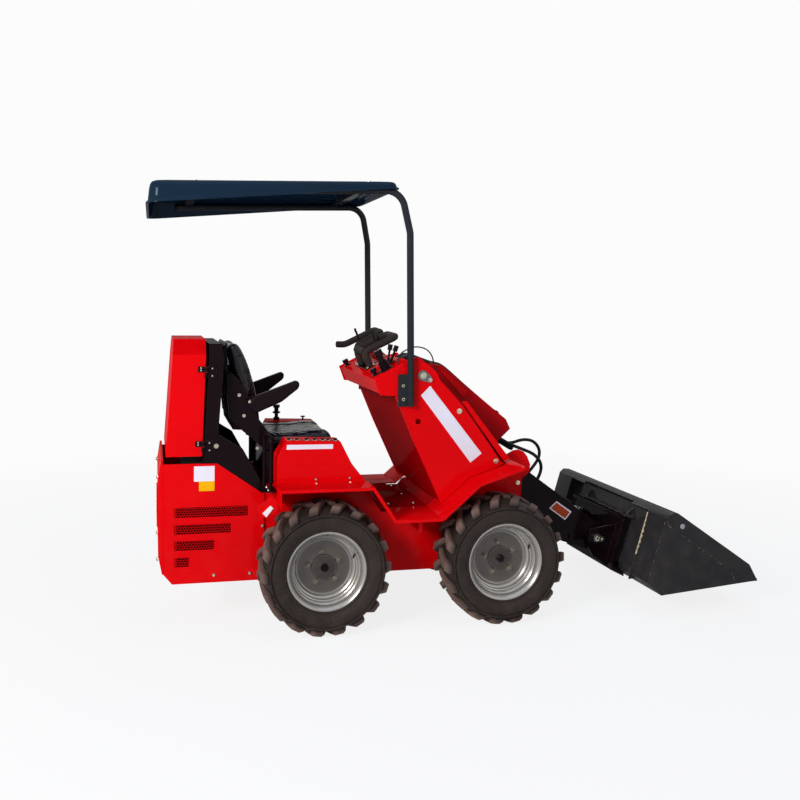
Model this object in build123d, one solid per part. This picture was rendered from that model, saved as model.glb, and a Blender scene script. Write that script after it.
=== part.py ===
from build123d import *
import math
import os

os.makedirs("parts", exist_ok=True)

# Sit-on mini skid steer loader with a canopy.  Millimetres.
# X forward, Y to the machine's left, Z up.  The places below count X from the rear axle
# and Z from the ground; every piece is moved by ORIGIN_SHIFT when it is written.

# ---------------------------------------------------------------- clearances
FIT = 0.3                 # between curved faces of different pieces
PLATE = 8.0               # structural plate
SHEET = 4.0               # panels and covers

# ---------------------------------------------------------------- wheels
WHEELBASE = 800.0
AXLE_Z = 284.0
TRACK_HALF = 408.0        # middle plane of a wheel from the middle of the machine
TYRE_RADIUS = 284.0       # over the lugs
TYRE_WIDTH = 214.0
TYRE_WALL = 14.0
LUG_HEIGHT = 17.0
LUG_COUNT = 18            # on each half of the tread
LUG_WIDTH = 34.0
LUG_SLANT = 24.0          # degrees from the wheel's axis
TYRE_FACES = 30           # flat faces round the tyre
RIM_WIDTH = 184.0
FLANGE_RADIUS = 170.0
BEAD_RADIUS = 152.0
WELL_RADIUS = 136.0
RIM_WALL = 5.0
HUB_RADIUS = 54.0
CAP_RADIUS = 20.0
STUD_CIRCLE_RADIUS = 70.0
STUD_RADIUS = 9.0
STUD_COUNT = 5
AXLE_RADIUS = 32.0
AXLE_HOUSING_RADIUS = 62.0

# ---------------------------------------------------------------- body widths
CHASSIS_HALF = 272.0      # outer face of the chassis side plates
BAY_HALF = CHASSIS_HALF + PLATE          # outer face of the engine bay and the hood
TOWER_HALF = 385.0        # outer face of the tower skins and pods
FENDER_HALF = 515.0
INNER_HALF = 205.0        # outer face of the tower's inner plates
BOOM_HALF = 185.0         # outer face of the boom's side plates

# ---------------------------------------------------------------- heights and lengths
BELLY_Z = 203.0
BAY_REAR_X = -672.0
BAY_TOP_Z = 720.0
BAY_CHAMFER = 40.0
GRILLE_REAR_X = -627.0
GRILLE_ROWS = ((-311.0, 487.0, 531.0), (-385.0, 415.0, 457.0), (-457.0, 344.0, 386.0),
               (-565.0, 273.0, 314.0))
GRILLE_SHEET = 2.0
GRILLE_PITCH = 13.6
GRILLE_HOLE = 0.8 * GRILLE_PITCH    # across the flats of a hexagonal hole
FENDER_Z = 640.0          # top of the rear fender
STEP_Z = 495.0            # top of the footwell step
NOSE_X = 960.0
HOOD_BOTTOM_Z = 752.0
HOOD_TOP_Z = 1252.0
HOOD_CHAMFER = 64.0
HOOD_GAP = 6.0
HINGE_X = -506.0          # hinge line at the hood's bottom edge
HINGE_Y = BAY_HALF + 8.0
HINGE_LEAN = 0.038
HINGE_RADIUS = 7.0
HINGE_PIN = 4.0
HINGE_LENGTH = 24.0
HINGE_HEIGHTS = (794.0, 1114.0)
SEAT_Z = 760.0
SEAT_HALF = 235.0
CANOPY_HALF = TOWER_HALF + 35.0
CANOPY_REAR_X = -742.0
CANOPY_FRONT_X = 326.0
POST_RADIUS = 15.0
HANDLE_RADIUS = 14.0      # foam cover of the hand loops
POST_X = 382.0
POST_Y = TOWER_HALF + 19.0

TIE_HOLE_X, TIE_HOLE_Z = 423.0, 898.0   # tie-down hole in each tower skin
TIE_HOLE_RADIUS = 12.0

# ---------------------------------------------------------------- boom and tool
PIVOT_X, PIVOT_Z = 440.0, 1102.0        # boom pivot
TILT_X, TILT_Z = 1389.0, 287.0          # tilt pin at the boom's end
PIN_RADIUS = 20.0
BUCKET_HALF = 560.0
BUCKET_PLATE = 10.0
BUCKET_TIP_X = 2025.0
COUPLER_HALF = 250.0
EAR_PLATE = 12.0
BOOM_PLATE = 12.0
BOSS_RADIUS = 48.0
BEAM_TOP = 118.0          # top edge of the beam above the line through the pivot
BEAM_FOOT = -52.0
BEAM_END = 512.0          # how far the beam's top edge runs from the pivot
PIN_FIT = 0.05            # radial play of pins and rods
LUG_INSIDE = 34.0
EYE_RADIUS = 26.0
EYE_HALF = 25.0
EYE_PIN_RADIUS = 15.0
LIFT_FOOT_X, LIFT_FOOT_Z = 660.0, 300.0
LIFT_TOP_X, LIFT_TOP_Z = 625.0, 866.0
LIFT_RADIUS = 32.0
LIFT_ROD_RADIUS = 17.5
LIFT_BARREL = 500.0
TILT_FOOT_X, TILT_FOOT_Z = 1009.0, 581.0
TILT_HEAD_X, TILT_HEAD_Z = 1394.0, 372.0
TILT_RADIUS = 27.0
TILT_ROD_RADIUS = 14.0
TILT_BARREL = 370.0
HOSE_RADIUS = 8.0
HOSE_FOOT_Z = 480.0

ORIGIN_SHIFT = -(CANOPY_REAR_X + BUCKET_TIP_X) / 2


# ---------------------------------------------------------------- helpers
def prism(points, y_from, y_to):
    """Closed outline of (x, z) points, carried along Y from one plane to another."""
    outline = Polyline([(x, y_from, z) for x, z in points], close=True)
    return extrude(make_face(outline), amount=y_to - y_from, dir=(0, 1, 0))


def slab(x_from, x_to, y_from, y_to, z_from, z_to):
    """Box between three pairs of planes."""
    return Pos((x_from + x_to) / 2, (y_from + y_to) / 2, (z_from + z_to) / 2) * Box(
        x_to - x_from, y_to - y_from, z_to - z_from)


def cross_pin(x, z, radius, y_from, y_to):
    """Cylinder along Y."""
    return Pos(x, (y_from + y_to) / 2, z) * Rot(90, 0, 0) * Cylinder(radius, abs(y_to - y_from))


def both(shape):
    """The shape and its mirror image on the other side of the machine."""
    return Compound([*shape.solids(), *mirror(shape, about=Plane.XZ).solids()])


def ribbon(points, thickness):
    """Outline of a bent plate: the line of its upper face, then the same line moved down by its thickness."""
    lower = []
    for index, (x, z) in enumerate(points):
        before = points[max(index - 1, 0)]
        after = points[min(index + 1, len(points) - 1)]
        normals = []
        for (xa, za), (xb, zb) in ((before, (x, z)), ((x, z), after)):
            length = math.hypot(xb - xa, zb - za)
            if length > 0:
                normals.append(((zb - za) / length, -(xb - xa) / length))
        nx = sum(n[0] for n in normals) / len(normals)
        nz = sum(n[1] for n in normals) / len(normals)
        scale = thickness / (nx * nx + nz * nz)
        lower.append((x + nx * scale, z + nz * scale))
    return list(points) + lower[::-1]


def tube(points, radius, bend=60.0):
    """Round bar along straight runs joined by arcs."""
    path = FilletPolyline(*points, radius=bend) if len(points) > 2 else Line(*points)
    return sweep(Plane(origin=path @ 0, z_dir=path % 0) * Circle(radius), path=path)


# the boom's own axes: s along its top edge, n square to it, from the boom pivot
ALONG = (0.781, -0.6245)
SQUARE = (0.6245, 0.781)


def on_boom(s, n):
    """World (x, z) of a place given along and square to the boom's top edge."""
    return (PIVOT_X + s * ALONG[0] + n * SQUARE[0], PIVOT_Z + s * ALONG[1] + n * SQUARE[1])


# ---------------------------------------------------------------- wheels
def facet_ring(radius, place):
    """Outline of the tyre's many flat faces at one place along the axle, by its inner radius."""
    flat = Plane(origin=(0, place, 0), x_dir=(1, 0, 0), z_dir=(0, 1, 0))
    return flat * RegularPolygon(radius, TYRE_FACES, major_radius=False)


def carcass():
    """Tyre about the middle of the wheel, filled down to the rim, without its lugs."""
    w, r = TYRE_WIDTH / 2, TYRE_RADIUS - LUG_HEIGHT
    seat = RIM_WIDTH / 2 - RIM_WALL - FIT
    lip = FLANGE_RADIUS + FIT
    half = [(lip, seat), (lip + 36, w), (r - 2, w - 22)]
    line = half + [(radius, -place) for radius, place in half[::-1]]
    outside = Solid.make_loft([facet_ring(radius, place).wire() for radius, place in line], ruled=True)
    bore = extrude(facet_ring(BEAD_RADIUS + FIT, -w), amount=TYRE_WIDTH, dir=(0, 1, 0))
    return outside - bore


def tyre_at_middle():
    """Tyre about the middle of the wheel, with two rows of slanting lugs, standing on a lug's corner."""
    w, foot = TYRE_WIDTH / 2, TYRE_RADIUS - LUG_HEIGHT - TYRE_WALL
    slant = math.radians(LUG_SLANT)
    inner_end = -6.0         # the lug's end beyond the middle of the tread
    reach = LUG_WIDTH / 2 * math.cos(slant) + (w / 2 - inner_end) * math.sin(slant)
    tip = math.sqrt(TYRE_RADIUS**2 - reach**2)
    # outline of a lug across the tread, as (place along the axle, distance from it)
    side = [(inner_end, foot), (inner_end, tip), (w - 22, tip), (w - 3, foot)]
    face = make_face(Polyline([(0, place - w / 2, height) for place, height in side], close=True))
    lug = extrude(face, amount=LUG_WIDTH / 2, dir=(1, 0, 0), both=True)
    lug = Pos(0, w / 2, 0) * Rot(0, 0, LUG_SLANT) * lug
    other = mirror(lug, about=Plane.XZ)
    step = 360 / LUG_COUNT
    phase = 180 - math.degrees(math.atan2(reach, tip))
    lugs = []
    for index in range(LUG_COUNT):
        lugs += (Rot(0, phase + index * step, 0) * lug).solids()
        lugs += (Rot(0, phase + (index + 0.5) * step, 0) * other).solids()
    return carcass() + lugs


TYRE = tyre_at_middle()


def tyre(x, side):
    """One tyre at its place; its lugs point the same way on both sides of the machine."""
    shape = TYRE if side > 0 else mirror(TYRE, about=Plane.XZ)
    return Pos(x, side * TRACK_HALF, AXLE_Z) * shape


def rim(x, side):
    """Stepped steel rim with its recessed disc, hub, cap and studs."""
    w = RIM_WIDTH / 2
    barrel = [(FLANGE_RADIUS, w), (FLANGE_RADIUS, w - RIM_WALL), (BEAD_RADIUS, w - RIM_WALL),
              (BEAD_RADIUS, w - 26), (WELL_RADIUS, w - 40), (WELL_RADIUS, 0),
              (WELL_RADIUS, -w + 40), (BEAD_RADIUS, -w + 26), (BEAD_RADIUS, -w + RIM_WALL),
              (FLANGE_RADIUS, -w + RIM_WALL), (FLANGE_RADIUS, -w), (BEAD_RADIUS - RIM_WALL, -w),
              (BEAD_RADIUS - RIM_WALL, -w + 28), (WELL_RADIUS - RIM_WALL, -w + 42),
              (WELL_RADIUS - RIM_WALL, w - 42), (BEAD_RADIUS - RIM_WALL, w - 28),
              (BEAD_RADIUS - RIM_WALL, w)]
    disc = [(AXLE_RADIUS + FIT, -8), (WELL_RADIUS - 1, -8), (WELL_RADIUS - 1, 2), (120, 0), (HUB_RADIUS, 0),
            (HUB_RADIUS, 6), (CAP_RADIUS, 6), (CAP_RADIUS, 26), (0, 26), (0, 4), (AXLE_RADIUS + FIT, 4)]
    shapes = [revolve(make_face(Polyline([(px, py, 0) for px, py in ring], close=True)), axis=Axis.Y)
              for ring in (barrel, disc)]
    body = shapes[0] + shapes[1]
    for index in range(STUD_COUNT):
        angle = math.radians(90 + 360 * index / STUD_COUNT)
        body += cross_pin(STUD_CIRCLE_RADIUS * math.cos(angle), STUD_CIRCLE_RADIUS * math.sin(angle),
                          STUD_RADIUS, -4, 16)
    if side < 0:
        body = mirror(body, about=Plane.XZ)
    return Pos(x, side * TRACK_HALF, AXLE_Z) * body


def axle_stubs():
    """Housings bolted to the chassis side plates, each with the shaft that carries a wheel."""
    pieces = []
    for x in (0.0, WHEELBASE):
        housing = cross_pin(x, AXLE_Z, AXLE_HOUSING_RADIUS, CHASSIS_HALF, TRACK_HALF - 60)
        shaft = cross_pin(x, AXLE_Z, AXLE_RADIUS, TRACK_HALF - 61, TRACK_HALF + 3)
        pieces += both(housing + shaft).solids()
    return Compound(pieces)


# ---------------------------------------------------------------- chassis
NOSE = [(894, 727), (916, 739), (943, 744), (970, 733), (988, 711), (1005, 671), (999, 635), (965, 607),
        (NOSE_X, 513)]


def chassis_frame():
    """Tub of side plates, belly, cross walls and the two nose plates."""
    side = [(BAY_REAR_X + 36, BELLY_Z), (NOSE_X, BELLY_Z)] + NOSE[::-1] + [
        (667, 622), (510, 478), (290, 478), (190, 622), (-235, 622), (-446, BAY_TOP_Z - 20),
        (BAY_REAR_X + 36, BAY_TOP_Z - 20)]
    frame = prism(side, CHASSIS_HALF - PLATE, CHASSIS_HALF)
    # air window behind the grilles
    frame -= prism([(GRILLE_REAR_X + 10, 260), (-560, 260), (-300, 480), (-300, 545),
                    (GRILLE_REAR_X + 10, 545)],
                   CHASSIS_HALF - PLATE - 1, CHASSIS_HALF + 1)
    frame = frame + mirror(frame, about=Plane.XZ)
    inner = CHASSIS_HALF - PLATE
    frame += slab(BAY_REAR_X + 36, NOSE_X, -inner, inner, BELLY_Z, BELLY_Z + PLATE)
    # cross walls: x of the rear face, height of the top edge
    for x, top in ((NOSE_X - PLATE, 350.0), (520.0, 478.0 - SHEET), (-250.0, 478.0)):
        frame += slab(x, x + PLATE, -inner, inner, BELLY_Z, top)
    lug = prism([(600, BELLY_Z + 1), (720, BELLY_Z + 1), (LIFT_FOOT_X + 30, LIFT_FOOT_Z + 20),
                 (LIFT_FOOT_X, LIFT_FOOT_Z + 35),
                 (LIFT_FOOT_X - 30, LIFT_FOOT_Z + 20)], LUG_INSIDE, LUG_INSIDE + 12)
    lug -= cross_pin(LIFT_FOOT_X, LIFT_FOOT_Z, EYE_PIN_RADIUS + PIN_FIT, 0, LUG_INSIDE + 40)
    frame += lug + mirror(lug, about=Plane.XZ)
    return frame


def engine_bay_panels():
    """Side panels of the engine bay, their floor and the top rim."""
    side = [(BAY_REAR_X, BELLY_Z + BAY_CHAMFER), (BAY_REAR_X + BAY_CHAMFER - 4, BELLY_Z - 4),
            (-240, BELLY_Z - 4),
            (-240, 584), (-251, 584), (-446, BAY_TOP_Z), (BAY_REAR_X, BAY_TOP_Z)]
    panel = prism(side, CHASSIS_HALF, BAY_HALF)
    for front_x, low, high in GRILLE_ROWS:
        panel -= slab(GRILLE_REAR_X, front_x, CHASSIS_HALF - 1, BAY_HALF + 1, low, high)
    return both(panel)


def side_grilles():
    """Perforated strips that fill the windows of the bay's sides."""
    strips = []
    rise = GRILLE_PITCH * math.sqrt(3) / 2
    corner = GRILLE_HOLE / math.sqrt(3)
    for front_x, low, high in GRILLE_ROWS:
        x_from, x_to = GRILLE_REAR_X + FIT, front_x - FIT
        bottom, top = low + FIT, high - FIT
        edge = Polyline([(x_from, 0, bottom), (x_to, 0, bottom), (x_to, 0, top), (x_from, 0, top)],
                        close=True)
        rows = int((top - bottom) / rise - 0.1)
        first_z = (low + high - (rows - 1) * rise) / 2
        holes = []
        for row in range(rows):
            columns = int((x_to - x_from) / GRILLE_PITCH - 0.6)
            first_x = x_from + GRILLE_PITCH * (0.6 + 0.5 * (row % 2))
            for column in range(columns):
                centre_x, centre_z = first_x + column * GRILLE_PITCH, first_z + row * rise
                corners = [(centre_x + corner * math.cos(math.radians(angle)), 0,
                            centre_z + corner * math.sin(math.radians(angle))) for angle in range(30, 390, 60)]
                holes.append(Wire(Polyline(corners, close=True).edges()))
        strip = extrude(Face(Wire(edge.edges()), holes), amount=GRILLE_SHEET, dir=(0, 1, 0))
        strips += (Pos(0, BAY_HALF - 1 - GRILLE_SHEET, 0) * strip).solids()
    return both(Compound(strips))


def rear_panel():
    """Bulged rear panel between the bay's sides."""
    low, high = BELLY_Z + BAY_CHAMFER, BAY_TOP_Z + 20
    outline = [(BAY_REAR_X, low), (BAY_REAR_X, high), (BAY_REAR_X - 10, high), (BAY_REAR_X - 22, high - 80),
               (BAY_REAR_X - 22, low + 80), (BAY_REAR_X - 6, low)]
    return prism(outline, -BAY_HALF + 4, BAY_HALF - 4)


def engine_block():
    """Engine and cooler as plain blocks, standing on the belly."""
    block_top = BAY_TOP_Z - 60
    engine = slab(-590, -300, -BAY_HALF + 110, BAY_HALF - 110, BELLY_Z + PLATE, block_top)
    return engine + slab(-590, -510, -BAY_HALF + 80, BAY_HALF - 80, block_top - 60, HOOD_TOP_Z - 132)


def hinge_x(height):
    """X of the hood's leaning hinge line at a height."""
    return HINGE_X + (height - HOOD_BOTTOM_Z) * HINGE_LEAN


def hinge_axis(low, high, radius):
    """Round bar on the hinge line between two heights."""
    foot = (hinge_x(low), -HINGE_Y, low)
    section = Plane(origin=foot, z_dir=(HINGE_LEAN, 0, 1)) * Circle(radius)
    return extrude(section, amount=(high - low) * math.hypot(1, HINGE_LEAN))


def hood_frame():
    """Black upright frame behind the seat with its two braces and the hinge leaves."""
    foot_x, top_x = -503.0, -480.0
    top_z = HOOD_TOP_Z - 16
    side = [(foot_x, BAY_TOP_Z), (top_x, top_z - 54), (top_x, top_z), (-428, top_z), (-416, top_z - 64),
            (-440, 845),
            (-335, 780), (-236, 600), (-251, 584), (-446, BAY_TOP_Z)]
    plate = prism(side, BAY_HALF - PLATE, BAY_HALF)
    frame = plate + mirror(plate, about=Plane.XZ)
    inner = BAY_HALF - PLATE
    frame += slab(top_x, -428, -inner, inner, top_z - PLATE, top_z)
    frame += slab(-446, -440, -inner, inner, 845, top_z - PLATE)
    for height in HINGE_HEIGHTS:
        x = hinge_x(height)
        frame += hinge_axis(height - HINGE_LENGTH, height, HINGE_RADIUS)
        frame += hinge_axis(height - 5, height + HINGE_LENGTH, HINGE_PIN)
        frame += slab(x + 1, x + 44, -BAY_HALF - 4, -BAY_HALF, height - HINGE_LENGTH, height + HINGE_LENGTH)
        frame -= hinge_axis(height + 0.2, height + HINGE_LENGTH + 1, HINGE_RADIUS + 1) - hinge_axis(
            height, height + HINGE_LENGTH + 2, HINGE_PIN)
    return frame


def wedge(corner):
    """Corner of the hood's roof, cut away front to back, from its (y, z) outline."""
    outline = Polyline([(BAY_REAR_X, y, z) for y, z in corner], close=True)
    return extrude(make_face(outline), amount=300, dir=(1, 0, 0))


def hood():
    """Rear door: a five-sided cover, hinged at its near front edge."""
    rear = [(-662, HOOD_BOTTOM_Z), (-628, HOOD_TOP_Z)]
    front = [(-484 - HOOD_GAP, HOOD_TOP_Z), (-503 - HOOD_GAP, HOOD_BOTTOM_Z)]
    block = prism(rear + front, -BAY_HALF, BAY_HALF)
    for side in (-1, 1):
        corner = [(side * (BAY_HALF + 1), HOOD_TOP_Z - HOOD_CHAMFER),
                  (side * (BAY_HALF + 1), HOOD_TOP_Z + 1),
                  (side * (BAY_HALF - 90), HOOD_TOP_Z + 1)]
        block -= wedge(corner)
    inner_rear = [(-662 + SHEET, HOOD_BOTTOM_Z - 1), (-628 + SHEET, HOOD_TOP_Z - SHEET)]
    inner_front = [(-470, HOOD_TOP_Z - SHEET), (-470, HOOD_BOTTOM_Z - 1)]
    hollow = prism(inner_rear + inner_front, -BAY_HALF + SHEET, BAY_HALF - SHEET)
    for side in (-1, 1):
        corner = [(side * BAY_HALF, HOOD_TOP_Z - HOOD_CHAMFER - 6), (side * BAY_HALF, HOOD_TOP_Z + 1),
                  (side * (BAY_HALF - 96), HOOD_TOP_Z + 1)]
        hollow -= wedge(corner)
    cover = block - hollow
    for height in HINGE_HEIGHTS:
        x = hinge_x(height)
        leaf = slab(x - 34, x - 1, -BAY_HALF - 4, -BAY_HALF, height + 0.5, height + HINGE_LENGTH)
        leaf += hinge_axis(height + 0.5, height + HINGE_LENGTH, HINGE_RADIUS)
        cover += leaf - hinge_axis(height - 1, height + HINGE_LENGTH + 1, HINGE_PIN + PIN_FIT)
    return cover


# ---------------------------------------------------------------- operator's place
FENDER_LINE = [(-200, FENDER_Z), (199, FENDER_Z), (297, STEP_Z), (500, STEP_Z), (667, FENDER_Z), (878, 709)]


def fenders():
    """Bent plates over the wheels with a lip along the outer edge and a flap at the rear."""
    top = prism(ribbon(FENDER_LINE, SHEET), CHASSIS_HALF, FENDER_HALF)
    lip = prism(ribbon(FENDER_LINE, 14.0), FENDER_HALF - SHEET, FENDER_HALF)
    flap = slab(-200, -200 + SHEET, BAY_HALF + 2, FENDER_HALF, 562, FENDER_Z)
    # forked stay under the step
    low, fork, high = STEP_Z - 68, STEP_Z - 34, STEP_Z - SHEET
    stay = [(412, low), (428, low), (428, fork), (452, high), (438, high), (420, fork + 12), (402, high),
            (388, high),
            (412, fork)]
    return both(top + lip + flap + prism(stay, CHASSIS_HALF, FENDER_HALF - 60))


def floor_plates():
    """Footwell floor with its rear and front slopes, on top of the chassis."""
    line = [(190, 626), (290, STEP_Z - SHEET), (512, STEP_Z - SHEET), (540, 528)]
    return prism(ribbon(line, SHEET), -CHASSIS_HALF + PLATE, CHASSIS_HALF - PLATE)


POD_REAR_TOP, POD_FRONT_TOP = (-159.0, 826.0), (75.0, 819.0)
POD_MIDDLE_Y = (SEAT_HALF + 25 + TOWER_HALF) / 2


def pod_top(x):
    """Height of the pods' top face."""
    share = (x - POD_REAR_TOP[0]) / (POD_FRONT_TOP[0] - POD_REAR_TOP[0])
    return POD_REAR_TOP[1] + share * (POD_FRONT_TOP[1] - POD_REAR_TOP[1])


def side_pods():
    """Closed consoles beside the seat, on the rear fenders."""
    side = [(-200, FENDER_Z), (-200, 753), POD_REAR_TOP, POD_FRONT_TOP, (125, 722), (180, 652),
            (186, FENDER_Z)]
    return both(prism(side, SEAT_HALF + 25, TOWER_HALF) - slab(-300, 300, 0, CHASSIS_HALF + 1, 0, FENDER_Z))


def seat_base():
    """Pan under the seat between the pods."""
    side = [(-232, 630), (-232, SEAT_Z), (110, SEAT_Z), (186, 632), (186, 624), (-232, 624)]
    return prism(side, -SEAT_HALF - 20, SEAT_HALF + 20)


def seat_cushion():
    """Seat cushion."""
    side = [(-250, SEAT_Z + FIT), (60, SEAT_Z + FIT), (85, SEAT_Z + 30), (70, SEAT_Z + 70),
            (20, SEAT_Z + 76),
            (-235, SEAT_Z + 66)]
    return prism(side, -SEAT_HALF + 32, SEAT_HALF - 32)


def seat_back():
    """Backrest with its steel side brackets."""
    pad = [(-411, 1130), (-419, 1200), (-404, 1234), (-385, 1238), (-354, 1212), (-299, 1075), (-272, 940),
           (-262, 840), (-330, 850), (-380, 853)]
    back = prism(pad, -SEAT_HALF + 30, SEAT_HALF - 30)
    bracket = [(-395, 1150), (-330, 1150), (-283, 1000), (-262, 915), (-190, 815), (-190, SEAT_Z),
               (-230, SEAT_Z),
               (-392, 900)]
    for side in (-1, 1):
        back += prism(bracket, side * (SEAT_HALF - 31), side * (SEAT_HALF - 12))
    return back


def armrests():
    """Two pads on the outside of the brackets."""
    side = [(-316, 975), (-288, 1003), (-96, 1074), (-84, 1060), (-88, 1039), (-163, 980), (-279, 929)]
    return both(prism(side, SEAT_HALF - 12, SEAT_HALF + 30))


# ---------------------------------------------------------------- tower
TOWER_REAR = [(220, 1089), (247, 1017), (317, 1012), (399, 818), (535, 526.5)]
TOWER_FRONT = [(823, 701), (815, 712), (623, 973), (522, 1079), (504, 1117), (457, 1157), (408, 1184)]


def tower_skins():
    """Outer plates of the tower."""
    side = TOWER_REAR + [(644, 623), (667, 642), (776, 678)] + TOWER_FRONT
    skin = prism(side, TOWER_HALF - PLATE, TOWER_HALF)
    skin -= cross_pin(TIE_HOLE_X, TIE_HOLE_Z, TIE_HOLE_RADIUS, TOWER_HALF - 20, TOWER_HALF + 20)
    return both(skin - cross_pin(PIVOT_X, PIVOT_Z, PIN_RADIUS + PIN_FIT, TOWER_HALF - 20, TOWER_HALF + 20))


def tower_inner_plates():
    """Inner plates beside the boom."""
    side = [(412, 812), (570, 482), (845, 482), (862, 700), (640, 1010), (480, 1170), (412, 1150)]
    plate = prism(side, INNER_HALF - PLATE, INNER_HALF)
    return both(plate - cross_pin(PIVOT_X, PIVOT_Z, PIN_RADIUS + PIN_FIT, INNER_HALF - 20, INNER_HALF + 20))


def tower_rear_panel():
    """Panel between the skins from the console down to the footwell."""
    line = [(321, 1004), (403, 814), (537, 534)]
    return prism(ribbon(line[::-1], SHEET), -TOWER_HALF + PLATE, TOWER_HALF - PLATE)


def control_console():
    """Sheet box at the top of the tower."""
    side = [(224, 1086), (251, 1021), (321, 1016), (384, 1016), (384, 1169)]
    return prism(side, -TOWER_HALF + PLATE, TOWER_HALF - PLATE)


def console_top(x):
    """Height of the console's sloping top."""
    return 1086 + (x - 224) * (1169 - 1086) / 160


def console_plate(x_from, x_to, y_from, y_to):
    """Base plate lying on the console's top."""
    line = [(x_from, console_top(x_from) + 6), (x_to, console_top(x_to) + 6), (x_to, console_top(x_to)),
            (x_from, console_top(x_from))]
    return prism(line, y_from, y_to)


def control_handles():
    """Foam-covered hand loops of the drive control, in the middle and on the left of the console."""
    near_y, far_y = -60, 110
    loop = [(279, near_y, console_top(279) + 4), (252, near_y, 1185), (405, near_y, 1258),
            (405, far_y, 1264),
            (250, far_y, 1190), (276, far_y, console_top(276) + 4)]
    middle = tube(loop, HANDLE_RADIUS, bend=24.0) + tube([(252, near_y, 1187), (250, far_y, 1191)],
                                                         HANDLE_RADIUS)
    middle += console_plate(258, 300, near_y - 22, far_y + 22)
    near_y, far_y = 165, 325
    hook = [(284, near_y, console_top(284) + 4), (262, near_y, 1205), (388, near_y, 1270),
            (392, far_y, 1278),
            (223, far_y, 1200)]
    left = tube(hook, HANDLE_RADIUS, bend=24.0) + console_plate(264, 304, near_y - 25, near_y + 25)
    return Compound([*middle.solids(), *left.solids()])


def turned_stack(foot, head, y, rings):
    """Round stack leaning from one (x, z) to another; the rings give radius and length from the foot up."""
    shape, start = None, 0.0
    for radius, length in rings:
        ring = Pos(0, y, 0) * rod_between(foot, head, start, start + length + 1, radius)
        shape = ring if shape is None else shape + ring
        start += length
    return shape


def control_levers():
    """Bucket and lift joystick with its boot, two push knobs and two short levers."""
    pieces = []
    foot = (292, console_top(292) + 3)
    # the boot's folds and the grip, as (radius, length)
    rings = ((23.0, 8.0), (18.0, 6.0), (23.0, 6.0), (17.0, 6.0), (21.0, 6.0), (16.0, 6.0), (19.0, 6.0),
             (14.0, 22.0),
             (19.0, 26.0))
    joystick = turned_stack(foot, (foot[0] - 42, foot[1] + 85), -310, rings)
    pieces += (joystick + console_plate(266, 318, -336, -284)).solids()
    # x and y of each knob
    for x, y in ((247.0, -300.0), (247.0, 300.0)):
        foot = (x, console_top(x) + 2)
        knob = turned_stack(foot, (foot[0] - 46, foot[1] + 89), y, ((9.0, 14.0), (15.0, 16.0)))
        pieces += (knob + console_plate(x - 14, x + 14, y - 14, y + 14)).solids()
    # x and y of each lever, and how far it leans forward
    for x, y, lean in ((338.0, -215.0, 30.0), (338.0, -165.0, 12.0)):
        foot = (x, console_top(x) + 5)
        lever = turned_stack(foot, (foot[0] + lean, foot[1] + 80), y, ((5.0, 52.0), (11.0, 26.0)))
        pieces += (lever + console_plate(x - 14, x + 14, y - 14, y + 14)).solids()
    return Compound(pieces)


# ---------------------------------------------------------------- canopy
def roof_inside(x):
    """Height of the roof's inner face."""
    return 1931 - (CANOPY_FRONT_X - 30 - x) * 33 / 1012


def canopy_posts():
    """Two bent posts with their brackets, running back under the roof."""
    rail_y = POST_Y - 18
    path = [(POST_X, -POST_Y, 970), (POST_X - 14, -POST_Y, 1720), (330, -rail_y, roof_inside(330) - 31),
            (-600, -rail_y, roof_inside(-600) - 31)]
    post = tube(path, POST_RADIUS, bend=80.0)
    bracket = slab(328, POST_X - 6, -TOWER_HALF - 10, -TOWER_HALF, 968, 1108)
    bracket += slab(POST_X - 20, POST_X - 4, -POST_Y + 2, -TOWER_HALF, 968, 1108)
    posts = post + bracket
    posts += mirror(posts, about=Plane.XZ)
    for x in (-560.0, 180.0):
        bar = [(x, roof_inside(x) - FIT), (x + 40, roof_inside(x + 40) - FIT),
               (x + 40, roof_inside(x + 40) - 20),
               (x, roof_inside(x) - 20)]
        posts += prism(bar, -rail_y, rail_y)
    return posts


def canopy_roof():
    """Hollow moulded roof, open below, deeper at the rear."""
    lower = [(CANOPY_REAR_X, 1812), (CANOPY_FRONT_X, 1908)]
    upper = [(CANOPY_FRONT_X - 16, 1930), (CANOPY_FRONT_X - 40, 1938), (CANOPY_REAR_X + 34, 1906),
             (CANOPY_REAR_X + 8, 1890)]
    shell = prism(lower + upper, -CANOPY_HALF, CANOPY_HALF)
    hollow = prism([(CANOPY_REAR_X + 10, 1800), (CANOPY_FRONT_X - 4, 1900), (CANOPY_FRONT_X - 18, 1931.4),
                    (CANOPY_FRONT_X - 30, 1931),
                    (CANOPY_REAR_X + 24, 1898)], -CANOPY_HALF + 8, CANOPY_HALF - 8)
    return shell - hollow


def grab_handles():
    """Upright handles behind the pods."""
    loop = tube([(-243, -293, 612), (-243, -293, 842), (-226, -378, 842), (-226, -378, 612)], 8.0,
                bend=24.0)
    return both(loop + slab(-256, -200 - FIT, -392, -BAY_HALF - FIT, 608, 613))


LAMP_Y = FENDER_HALF - 95.0    # outer face of a lamp tab


def lamp_tabs():
    """Flat tabs on the fenders' rear flaps for the rear lamps."""
    tab = [(-287, 544), (-233, 598), (-200 - FIT, 575), (-200 - FIT, 540), (-214, 516), (-268, 507)]
    return both(prism(tab, LAMP_Y - SHEET, LAMP_Y))


def lamp_lenses():
    """Blank rear lamps on the tabs."""
    lens = [(-265, 527), (-232, 559), (-219, 547), (-249, 509)]
    return both(prism(lens, LAMP_Y, LAMP_Y + 5.0))


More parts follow.
